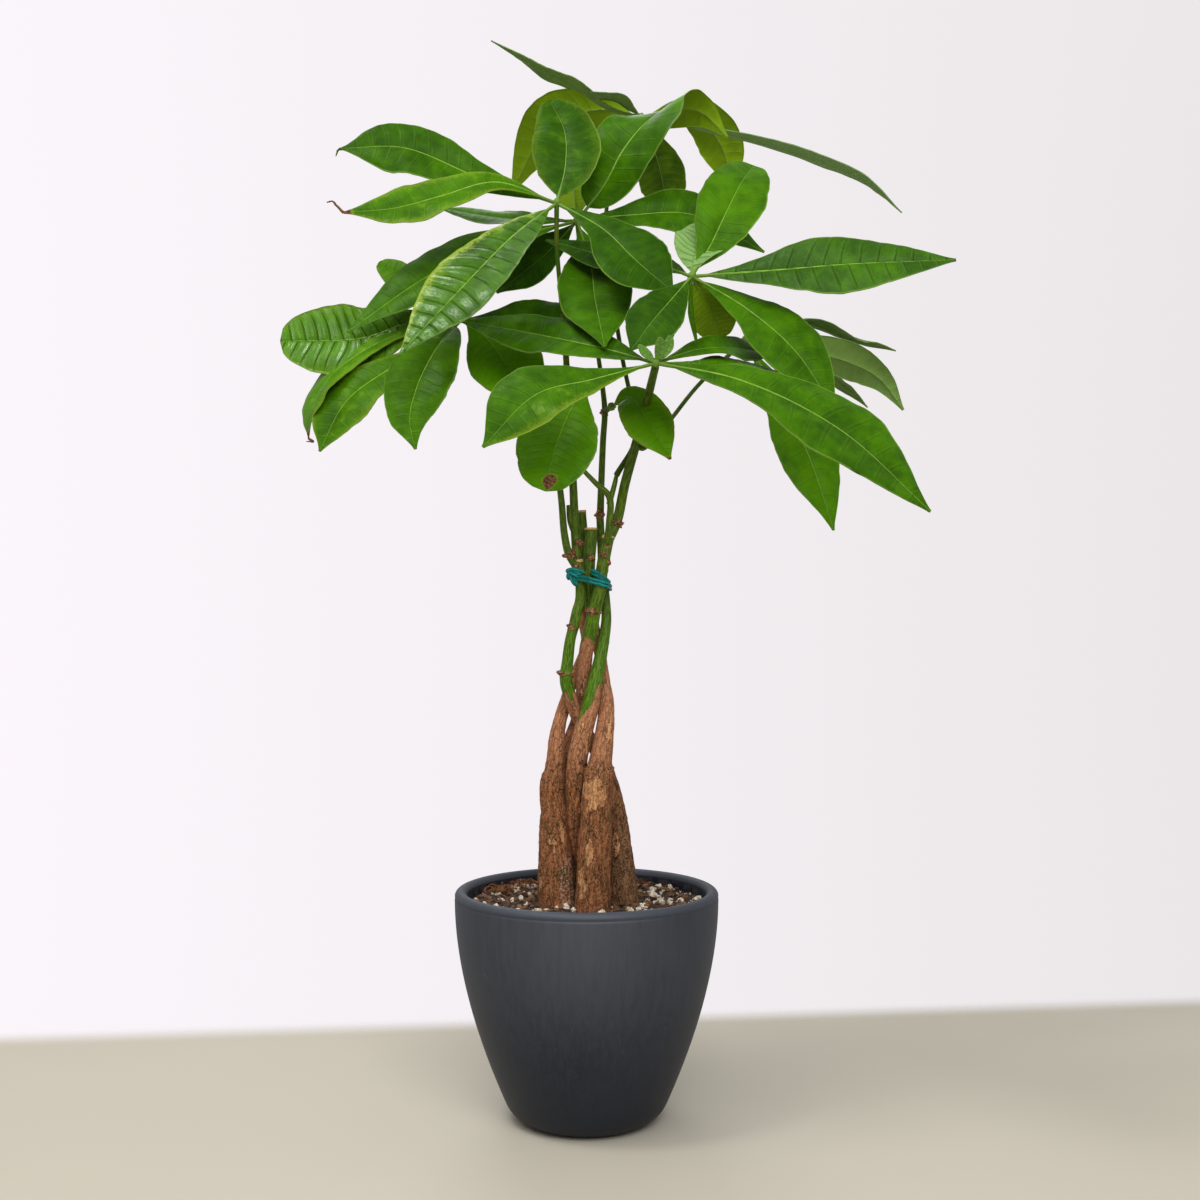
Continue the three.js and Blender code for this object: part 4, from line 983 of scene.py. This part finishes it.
def make_backdrop():
    """A soft grey-pink fade seen by the camera, and a weaker even light for everything else."""
    world = bpy.data.worlds.new("studio")
    world.use_nodes = True
    tree = world.node_tree

    def node(kind, *values):
        made = tree.nodes.new("ShaderNode" + kind)
        for socket, value in zip(made.inputs, values):
            if isinstance(value, (float, tuple)):
                socket.default_value = value
            else:
                tree.links.new(value, socket)
        return made

    heading = node("SeparateXYZ", node("TexCoord").outputs["Generated"])
    across = node("MapRange", heading.outputs[0], -BACKDROP["reach"], BACKDROP["reach"])
    tint = tree.nodes.new("ShaderNodeMix")
    tint.data_type = "RGBA"
    tree.links.new(across.outputs[0], tint.inputs[0])
    tint.inputs[6].default_value = (*BACKDROP["left"], 1)
    tint.inputs[7].default_value = (*BACKDROP["right"], 1)
    seen = tree.nodes["Background"]
    tree.links.new(tint.outputs[2], seen.inputs["Color"])
    lit = node("Background", (*BACKDROP["light"], 1), BACKDROP["strength"])
    path = node("LightPath")
    choice = node("MixShader", path.outputs["Is Camera Ray"], lit.outputs[0], seen.outputs[0])
    tree.links.new(choice.outputs[0], tree.nodes["World Output"].inputs["Surface"])
    bpy.context.scene.world = world
    bpy.context.scene.view_settings.view_transform = "Standard"


# ---------------------------------------------------------------- pot, soil and what lies on it

def around(radius, angle):
    return radius * math.cos(angle), radius * math.sin(angle)


def circle(shape, radius, sides, height, state=(0, 0, 0, 0)):
    """A ring of vertices; height(x, y) says how high each one is."""
    row = []
    for i in range(sides):
        x, y = around(radius, TURN * i / sides)
        row.append(shape.vert((x, y, height(x, y)), state))
    return row


def pot_outer():
    """The pot's foot and wall from the side, as radius and height."""
    turn = math.pi / 2 - POT["lean"]
    count = POT["foot_steps"]
    foot = [(POT["base"] + POT["rounding"] * math.sin(turn * i / count),
             POT["rounding"] * (1 - math.cos(turn * i / count))) for i in range(count + 1)]
    r0, z0 = foot[-1]
    top = POT["height"] - POT["lip"] / 2
    rise = top - z0
    ends = [(r0, z0), (r0 + math.sin(POT["lean"]) * POT["lower"] * rise,
                       z0 + math.cos(POT["lean"]) * POT["lower"] * rise),
            (POT["rim"], top - POT["upper"] * rise), (POT["rim"], top)]
    wall = []
    for i in range(1, POT["steps"] + 1):
        t = i / POT["steps"]
        w = ((1 - t) ** 3, 3 * t * (1 - t) ** 2, 3 * t * t * (1 - t), t ** 3)
        r, z = (sum(k * e[axis] for k, e in zip(w, ends)) for axis in (0, 1))
        groove = POT["groove"] * math.exp(-((z - POT["groove_at"]) / POT["groove_span"]) ** 2)
        wall.append((r - groove, z))
    return foot + wall


def pot_lip():
    half, count = POT["lip"] / 2, POT["lip_steps"]
    return [(POT["rim"] - half + half * math.cos(math.pi * i / count),
             POT["height"] - half + half * math.sin(math.pi * i / count))
            for i in range(1, count)]


def pot_inner(outer):
    top = POT["rim"] - POT["lip"]
    inner = [(min(r - POT["wall"], top), z) for r, z in outer
             if z > POT["floor"] + POT["rounding"] / 2]
    return [(0, POT["floor"]), (inner[0][0] - 2 * POT["wall"], POT["floor"])] + inner


def make_pot():
    shape = Shape()
    sides = POT["sides"]
    outer = pot_outer()
    outside = [(0, 0)] + outer + pot_lip()
    inside = pot_inner(outer)[::-1]
    dust_from, dust_full, dust_thins, dust_to = POT["dust"]
    rows = []
    for k, (r, z) in enumerate(outside + inside):
        # inner marks the inside wall, which the pot material paints darker as painted shade.
        inner = 1.0 if k >= len(outside) else 0.0
        dusty = inner * smooth(z, dust_from, dust_full) * (1 - smooth(z, dust_thins, dust_to))
        if r:
            rows.append(circle(shape, r, sides, lambda x, y: z, (inner, dusty, 0, 0)))
        else:
            rows.append([shape.vert((0, 0, z), (inner, 0, 0, 0))] * sides)
    for low, high in zip(rows, rows[1:]):
        for i in range(sides):
            j = (i + 1) % sides
            shape.face(*dict.fromkeys((low[i], low[j], high[j], high[i])))
    pot = shape.build("pot_body", [pot_material()])
    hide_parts("pot")
    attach(pot, "root")


def soil_height(x, y):
    broad = math.sin((x + 2 * y) / (1.5 * SOIL["span"]))
    fine = math.sin(x / SOIL["span"] + 1) * math.cos(y / SOIL["span"])
    crumbs = noise.noise(Vector((x, y, 0)) * 0.22) + 0.5 * noise.noise(Vector((x, y, 9)) * 0.6)
    return SOIL["level"] + SOIL["relief"] * (0.6 * broad + fine) + SOIL["crumbs"] * crumbs


def make_soil():
    shape = Shape()
    edge = POT["rim"] - POT["lip"] - SOIL["gap"]
    rings, sides = SOIL["rings"], SOIL["sides"]
    middle = shape.vert((0, 0, soil_height(0, 0)))
    rows = [circle(shape, edge * k / rings, sides, soil_height) for k in range(1, rings + 1)]
    rows.append(circle(shape, edge, sides, lambda x, y: SOIL["bottom"]))
    for i in range(sides):
        shape.face(middle, rows[0][i], rows[0][(i + 1) % sides])
    shape.grid(rows, flip=True, closed=True)
    shape.face(*rows[-1])
    soil = shape.build("soil_bed", [soil_material()])
    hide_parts("soil")
    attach(soil, "root")


def trunk_spots():
    """Where the trunks come out of the soil: [x, y, radius]."""
    spots = []
    for plan in TRUNKS.values():
        spline = Spline(plan["route"])
        share = min((i / 200 for i in range(60)), key=lambda t: abs(spline.at(t).z - SOIL["level"]))
        centre = spline.at(share)
        spots.append((centre.x, centre.y, radius_at(plan["route"], share)))
    return spots


def scatter(random_, count, clear, reach):
    """Places on the soil that are clear of the trunks."""
    spots = trunk_spots()
    placed = []
    while len(placed) < count:
        angle = random_.uniform(0, TURN)
        x, y = around(reach * math.sqrt(random_.random()), angle)
        if all(math.hypot(x - a, y - b) > r + clear for a, b, r in spots):
            placed.append((x, y))
    return placed


def tilt(random_, most=0.6):
    """A random heading with a slight lean."""
    return (Matrix.Rotation(random_.uniform(0, 6.28), 3, "Z")
            @ Matrix.Rotation(random_.uniform(-most, most), 3, "X")
            @ Matrix.Rotation(random_.uniform(-most, most), 3, "Y"))


def add_grit(shape, random_):
    for x, y in scatter(random_, LITTER["grit"], 0.5, LITTER["reach"]):
        if noise.noise(Vector((x, y, 0)) * 0.08) < random_.uniform(-0.5, 0.4):
            continue
        size = random_.choice(LITTER["grit_sizes"])
        lump(shape, (x, y, soil_height(x, y) + 0.35 * size), size, random_.random() * 50, 4, 6,
             rough=0.9, stretch=(1, random_.uniform(0.6, 1), random_.uniform(0.5, 0.9)),
             turn=tilt(random_))


def add_chips(shape, random_):
    for x, y in scatter(random_, LITTER["chips"], 0.2, LITTER["reach"]):
        size = random_.uniform(*LITTER["chip_sizes"])
        lump(shape, (x, y, soil_height(x, y) + 0.25 * size), size, random_.random() * 50, 3, 6,
             state=(random_.random() ** 2, 0, 0, 0), rough=0.5,
             stretch=(1.3, random_.uniform(0.4, 0.9), random_.uniform(0.25, 0.6)),
             turn=tilt(random_))


def add_big_chips(shape):
    """The large chips, where the solid soil has them: the same chain of draws places both."""
    state = [CHIPS["seed"]]

    def draw():
        state[0] = (state[0] * CHIPS["factor"] + CHIPS["step"]) % CHIPS["limit"]
        return state[0] / CHIPS["limit"]

    for i in range(CHIPS["count"]):
        angle = TURN * draw()
        radius = mix(CHIPS["start"], CHIPS["end"], math.sqrt(draw()))
        size = mix(CHIPS["least"], CHIPS["most"], draw())
        narrow = 0.5 + 0.4 * draw()
        turn = (Matrix.Rotation(draw() - 0.5, 3, "X"), Matrix.Rotation(draw() - 0.5, 3, "Y"),
                Matrix.Rotation(math.pi * draw(), 3, "Z"))
        x, y = around(radius, angle)
        lump(shape, (x, y, soil_height(x, y) + 0.05 * size), 0.62 * size, i * 3.1, 7, 12,
             state=(0.15 + 0.5 * (i % 3 == 0), 0, 0, 0), rough=0.5,
             stretch=(1, narrow, 0.45), turn=turn[2] @ turn[1] @ turn[0])


def add_fibres(shape, random_):
    for x, y in scatter(random_, LITTER["threads"], 1.0, LITTER["thread_reach"]):
        strand(shape, random_, x, y, random_.uniform(*LITTER["thread_sizes"]), 0.16)
    for centre, count in LITTER["clumps"]:
        for _ in range(count):
            x, y = (c + random_.gauss(0, LITTER["spread"]) for c in centre)
            if math.hypot(x, y) < LITTER["clump_reach"]:
                strand(shape, random_, x, y, random_.uniform(*LITTER["clump_sizes"]), 0.2,
                       random_.uniform(0, 5))


def make_litter():
    random_ = random.Random(LITTER["seed"])
    grit, chips, fibres = Shape(), Shape(), Shape()
    add_grit(grit, random_)
    add_chips(chips, random_)
    add_big_chips(chips)
    add_fibres(fibres, random_)
    for shape, name, material, rounded in (
            (grit, "perlite_grains", grit_material(), False),
            (chips, "bark_chips", chip_material(), False),
            (fibres, "coco_fibres", fibre_material(), True)):
        piece = shape.build(name, [material], rounded=rounded)
        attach(piece, "root")


def strand(shape, random_, x, y, length, radius, lift=0.0):
    """One curled fibre on the soil, kept inside the pot's wall."""
    heading = random_.uniform(0, TURN)
    curl = random_.uniform(-1.2, 1.2)
    route = []
    for t in (0, 1 / 3, 2 / 3, 1):
        a = heading + curl * t
        px, py = x + length * t * math.cos(a), y + length * t * math.sin(a)
        far = math.hypot(px, py)
        if far > LITTER["edge"]:
            scale = LITTER["edge"] / far
            px, py = px * scale, py * scale
        rise = 0.5 + lift * math.sin(math.pi * t) + random_.uniform(0, 0.8)
        route.append((px, py, soil_height(px, py) + rise, radius))
    tube(shape, route, 4, 7)


# ---------------------------------------------------------------- trunks and tie

def ring_strength(plan, spot):
    """How much of a worn, wandering ring scar there is at a place."""
    drift = 1.6 * noise.noise(Vector(spot) * 0.2)
    worn = clamp(0.5 + 1.6 * noise.noise(Vector(spot) * 0.17 + Vector((plan["seed"], 0, 0))))
    return worn * max(math.exp(-(spot[2] + drift - height) ** 2) for height in plan["rings"])


def bare_share(plan, angle, spot):
    """How far the bark has peeled at a place: the listed patches and a few wandering ones."""
    turn = Vector((math.cos(angle), math.sin(angle), 0))
    seed = plan["seed"]
    wander = noise.noise(turn * 1.3 + Vector((seed, seed, 0)) + Vector((0, 0, spot[2] * 0.045)))
    bare = 0.6 * smooth(wander + 0.3 * plan["peel"], 0.35, 0.7)
    for x, z, half_x, half_z in plan["patches"]:
        away = math.hypot((spot[0] - x) / half_x, (spot[2] - z) / half_z)
        away += 0.7 * noise.noise(Vector((spot[0] * 0.35, seed, spot[2] * 0.22)))
        bare = max(bare, 1 - smooth(away, 0.7, 1.3))
    return bare * (1 - smooth(spot[2], plan["green"] - 25, plan["green"]))


def bark_relief(plan):
    """Ridges, peeled hollows, ledges and ring scars; the ridges fade out on the green skin."""
    seed, top = plan["seed"], plan["route"][-1][2]

    def relief(share, angle, spot):
        woody = 1 - smooth(spot.z, plan["green"] - 12, plan["green"] + 8)
        turn = Vector((math.cos(angle), math.sin(angle), 0))
        ridge = noise.noise(turn * 2.2 + Vector((seed, 0, spot.z * 0.02)))
        fibre = noise.noise(turn * 8 + Vector((0, seed, spot.z * 0.09)))
        knob = noise.noise(turn * 1.5 + Vector((seed, seed, spot.z * 0.09)))
        lumps = noise.noise(spot * 0.32) + 0.7 * noise.noise(spot * 0.75)
        low = 1 - smooth(spot.z, 150, 260)
        bare = bare_share(plan, angle, spot)
        extra = woody * (0.55 * low * ridge + 0.25 * fibre * (0.4 + low) + 0.35 * knob)
        extra += woody * 0.3 * (0.35 + low) * lumps
        extra += woody * (0.6 * bare * (1 - bare) - 0.3 * bare)
        for height, reach, rise in plan["ledges"]:
            above = spot.z + 1.5 * knob - height
            below = height - spot.z - 1.5 * knob
            extra += rise * math.exp(-max(above, 0) / 0.5 - max(below, 0) / reach)
        rim = smooth(spot.z, top - 2, top - 0.6)
        return extra + 0.45 * ring_strength(plan, spot) + rim * (0.25 + 0.5 * knob)

    return relief


def bark_state(plan):
    """Green, peeled, scarred and chalky shares for the bark material."""
    top = plan["route"][-1][2]

    def state(share, spot, angle):
        edge = plan["green"] + plan["lean"] * (spot.x - plan["axis"])
        green = clamp(0.5 + (spot.z - edge) / 26)
        chalk = smooth(spot.z, top - 1.8, top - 1.0)
        scar = 0.9 * max(ring_strength(plan, spot), chalk)
        for x, z, half_x, half_z in plan["chalky"]:
            away = math.hypot((spot.x - x) / half_x, (spot.z - z) / half_z)
            chalk = max(chalk, 1 - smooth(away, 0.5, 1.1))
        return green, bare_share(plan, angle, spot), scar, chalk

    return state


def shoot_state(jointed):
    """Green skin, corky where a long shoot leaves its strand."""
    def state(share, spot, angle):
        joint = math.exp(-(share * 14) ** 2) if jointed else 0
        return 1.0, 0.0, 0.8 * joint, 0.0

    return state


def make_trunks(bark):
    for name, plan in TRUNKS.items():
        shape = Shape()
        tube(shape, plan["route"], plan["sides"], 260, bark_relief(plan), bark_state(plan))
        for shoot in plan["shoots"]:
            tube(shape, shoot, 16, 14 * len(shoot), None, shoot_state(len(shoot) > 3))
        for i, (x, y, z, radius) in enumerate(plan["scars"] + plan["buds"]):
            lump(shape, (x, y, z), radius, plan["seed"] + i, 14, 20, state=(0.6, 0, 1, 0),
                 rough=0.8, stretch=(1, 0.9, 0.8))
        trunk = shape.build(name + "_bark", [bark])
        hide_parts(name)
        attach(trunk, "root")


def knot_loop(centre, along, across):
    """One loop of the knot, bent a little out of its plane."""
    ring = []
    for i in range(8):
        a = TURN * i / 8
        spot = (Vector(centre) + Vector(along) * math.cos(a) + Vector(across) * math.sin(a)
                + Vector((0, 0.5 * math.cos(2 * a), 0)))
        ring.append((*spot, CORD["knot_radius"]))
    return ring


def make_tie():
    shape = Shape()
    sides = CORD["sides"]
    for shift in (-1.0, 1.0):
        for route in (TIE_LONG, TIE_SHORT):
            points = [(x, y, z + shift, CORD["radius"]) for x, y, z in route]
            tube(shape, points, sides, 12 * len(route), closed=True)
    for loop in KNOT:
        tube(shape, knot_loop(*loop), sides, 56, closed=True)
    tube(shape, TAIL, sides, 24)
    tie = shape.build("tie_cord", [tie_material()])
    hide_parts("tie")
    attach(tie, "root")


# ---------------------------------------------------------------- leaves

def half_width(leaflet, share):
    along = max(share - BLADE["stalk"], 0) / (1 - BLADE["stalk"])
    skew = math.log(0.5) / math.log(leaflet["widest"])
    sharp = mix(leaflet["base"], TIP[leaflet["tip"]], along)
    swell = max(math.sin(math.pi * along ** skew), 0) ** sharp
    return BLADE["stalk_half"] + (leaflet["width"] / 2 - BLADE["stalk_half"]) * swell


def edge_sway(share, side, seed):
    """How far the outline strays from its plan, as a factor."""
    row = 0 if side > 0 else 5
    sway = 1 + BLADE["sway"] * noise.noise(Vector((share * 7, seed, 3 + row)))
    return sway + BLADE["notch"] * noise.noise(Vector((share * 21, seed, 13 + row)))


def cross_bend(share, side, half, seed):
    """How far a blade rises off its rib: guttered, rolled, rippled, curled and cockled."""
    wave = math.sin(BLADE["along"] * share + BLADE["shift"] * (side > 0 or -1))
    lift = half * (BLADE["gutter"] * abs(side) - BLADE["roll"] * side ** 2
                   + BLADE["ripple"] * wave * side ** 2)
    curl = noise.noise(Vector((share * 3.5, seed * 1.7, 1 if side > 0 else 5)))
    lift += half * BLADE["curl"] * curl * side ** 2
    cockle = noise.noise(Vector((share * 9, seed * 1.3, 2 * side)))
    return lift + half * BLADE["cockle"] * cockle * abs(side)


def vein_phase(reach, along, side, seed):
    """Counts side veins along the rib; they leave it nearly square and curve forward."""
    wander = 0.35 * noise.noise(Vector((0.45 * along, 0.3 * reach, seed + (7 if side > 0 else 0))))
    return along - 0.2 * reach - 0.05 * reach ** 2 + wander + (0.45 if side > 0 else 0)


def vein_swell(quilt, side, half, phase, seed):
    """How far a blade swells up between its side veins."""
    swell = abs(math.sin(math.pi * phase)) ** (0.7 if quilt > 1.3 else 1.5)
    grow = smooth(half, 2, 8) * (1 - 0.6 * abs(side) ** 3) * smooth(abs(side), 0, 0.1)
    fading = noise.noise(Vector((phase * 0.35, seed, side * 1.5)))
    grow *= clamp(0.75 + 1.1 * fading, 0.2, 1.4)
    return BLADE["swell"] * quilt * grow * (swell - 0.5)


def blade_state(leaflet, share, side):
    """Tone, lower side, dead and yellow shares for the blade material."""
    brown, spot = leaflet["brown"], leaflet["spot"]
    dead = smooth(share, 1 - 0.12 * brown - 0.02, 1.0) * min(1, brown * 1.6)
    if spot:
        away = math.hypot((share - 0.93) * 14, (side - 0.1) * 3)
        dead = max(dead, spot * (1 - smooth(away, 0.5, 1.3)))
    aged = leaflet["aged"]
    yellow = leaflet["yellow"] * (smooth(aged * side, 0, 0.3) if aged else 1)
    tone = mix(leaflet["tone"], leaflet["tip_tone"], smooth(share, 0.55, 0.75))
    return tone, 0.0, dead, yellow


def blade_rows(shape, spline, leaflet, seed):
    """Rows of vertices from hub to tip, on the upper and on the lower side."""
    length = spline.length()
    young = leaflet["tip"] == "young"
    steps = 24 if young else int(clamp(length / 1.7, 30, 84))
    spacing = max(length / 15, 3)
    quilt = leaflet["quilt"] * (0.2 if young else 1.0)
    face, tip_face = Vector(leaflet["face"]), Vector(leaflet["tip_face"])
    upper, lower, along, last = [], [], 0.0, None
    for i in range(steps + 1):
        row = i / steps
        share = row - 0.04 * math.sin(TURN * row)
        centre = spline.at(share)
        along += (centre - last).length if last else 0
        last = centre
        tangent = spline.tangent(share)
        normal = face.lerp(tip_face, share)
        normal = (normal - tangent * normal.dot(tangent)).normalized()
        across = normal.cross(tangent)
        half = half_width(leaflet, share)
        upper.append([])
        lower.append([])
        for side in SIDES:
            reach = abs(side) * half * edge_sway(share, side, seed)
            phase = vein_phase(reach / spacing, along / spacing, side, seed)
            lift = cross_bend(share, side, half, seed)
            lift += vein_swell(quilt, side, half, phase, seed)
            spot = centre + across * (math.copysign(reach, side)) + normal * lift
            thick = mix(BLADE["middle"], BLADE["edge"], abs(side))
            rib = (BLADE["rib"] * (1 - 0.8 * share)) * math.exp(
                -(reach / BLADE["rib_half"]) ** 2) * smooth(half, 1, 4)
            state = blade_state(leaflet, share, side)
            grain = (side, share, leaflet["pale"])
            uv = (math.copysign(reach, side) / spacing, phase)
            upper[-1].append(shape.vert(spot + normal * thick * 0.5 - normal * 0.35 * rib,
                                        state, grain, uv))
            lower[-1].append(shape.vert(spot - normal * (thick * 0.5 + rib),
                                        (state[0], 1.0, *state[2:]), grain, uv))
    return upper, lower, quilt


def make_blade(shape, hub, leaflet, seed):
    spline = Spline([hub] + leaflet["rib"])
    upper, lower, quilt = blade_rows(shape, spline, leaflet, seed)
    finish = 2 if quilt > 2 else 3 if quilt > 1.3 else 0
    shape.grid(upper, slot=finish)
    shape.grid(lower, slot=finish, flip=True)
    for edge in (0, -1):
        pair = [[u[edge] for u in upper], [d[edge] for d in lower]]
        shape.grid(pair, slot=finish, flip=edge == 0)
    shape.grid([upper[0], lower[0]], slot=finish)
    shape.grid([upper[-1], lower[-1]], slot=finish, flip=True)
    if leaflet["curl"]:
        add_curl(shape, leaflet)
    normal = Vector(leaflet["face"]).normalized()
    stalk = [tuple(spline.at(t) - normal * 0.2) + (r,)
             for t, r in ((0, 1.15), (0.04, 1.05), (0.09, 0.95), (0.15, 0.7), (0.22, 0.35))]
    tube(shape, stalk, 8, 12, None, lambda share, spot, angle: (0.8, 0, 0, 0), slot=1)


def add_curl(shape, leaflet):
    """A thin twisted end beyond the tip, dry where the leaflet has browned."""
    withered = 1.0 if leaflet["brown"] > 0.3 else 0.0
    tail = [(*spot, mix(0.9, 0.3, i / len(leaflet["curl"])))
            for i, spot in enumerate([leaflet["rib"][-1]] + leaflet["curl"])]
    tube(shape, tail, 7, 18, lambda share, angle, spot: 0.3 * noise.noise(spot * 0.9),
         lambda share, spot, angle: (0, 0, withered, 0), slot=1)


def make_leaves():
    # depth is how strongly painted shade darkens the vein creases.
    finishes = [leaf_material("leaf_blade", base_rough=0.26, gloss=0.06, depth=0.1, groove=0.45),
                stem_material(),
                leaf_material("leaf_blade_glossy", base_rough=0.16, gloss=0.26, depth=0.4,
                              groove=2.2),
                leaf_material("leaf_blade_ribbed", base_rough=0.3, gloss=0.14, depth=0.4,
                              groove=1.3)]
    for count, (name, plan) in enumerate(LEAVES.items()):
        shape = Shape()
        hub = plan["hub"]
        route = [(*p, 1.35) for p in plan["petiole"]] + [(*hub, 1.5)]
        route[0] = (*route[0][:3], 1.9)
        tube(shape, route, 14, 14 * len(route), None, lambda share, spot, angle: (
            0.7 * smooth(share, 0.93, 1.0), 0, 0, 0), slot=1)
        lump(shape, hub, 2.5, count + 0.5, 8, 12, slot=1, state=(0.8, 0, 0, 0), rough=0.35)
        for i, leaflet_plan in enumerate(plan["leaflets"]):
            make_blade(shape, hub, leaflet_plan, 10 * count + i)
        leaf = shape.build(name + "_blades", finishes, CAD_BOX)
        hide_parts(name)
        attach(leaf, "root")


make_camera()
make_stage()
make_pot()
make_soil()
make_litter()
make_trunks(bark_material())
make_tie()
make_leaves()
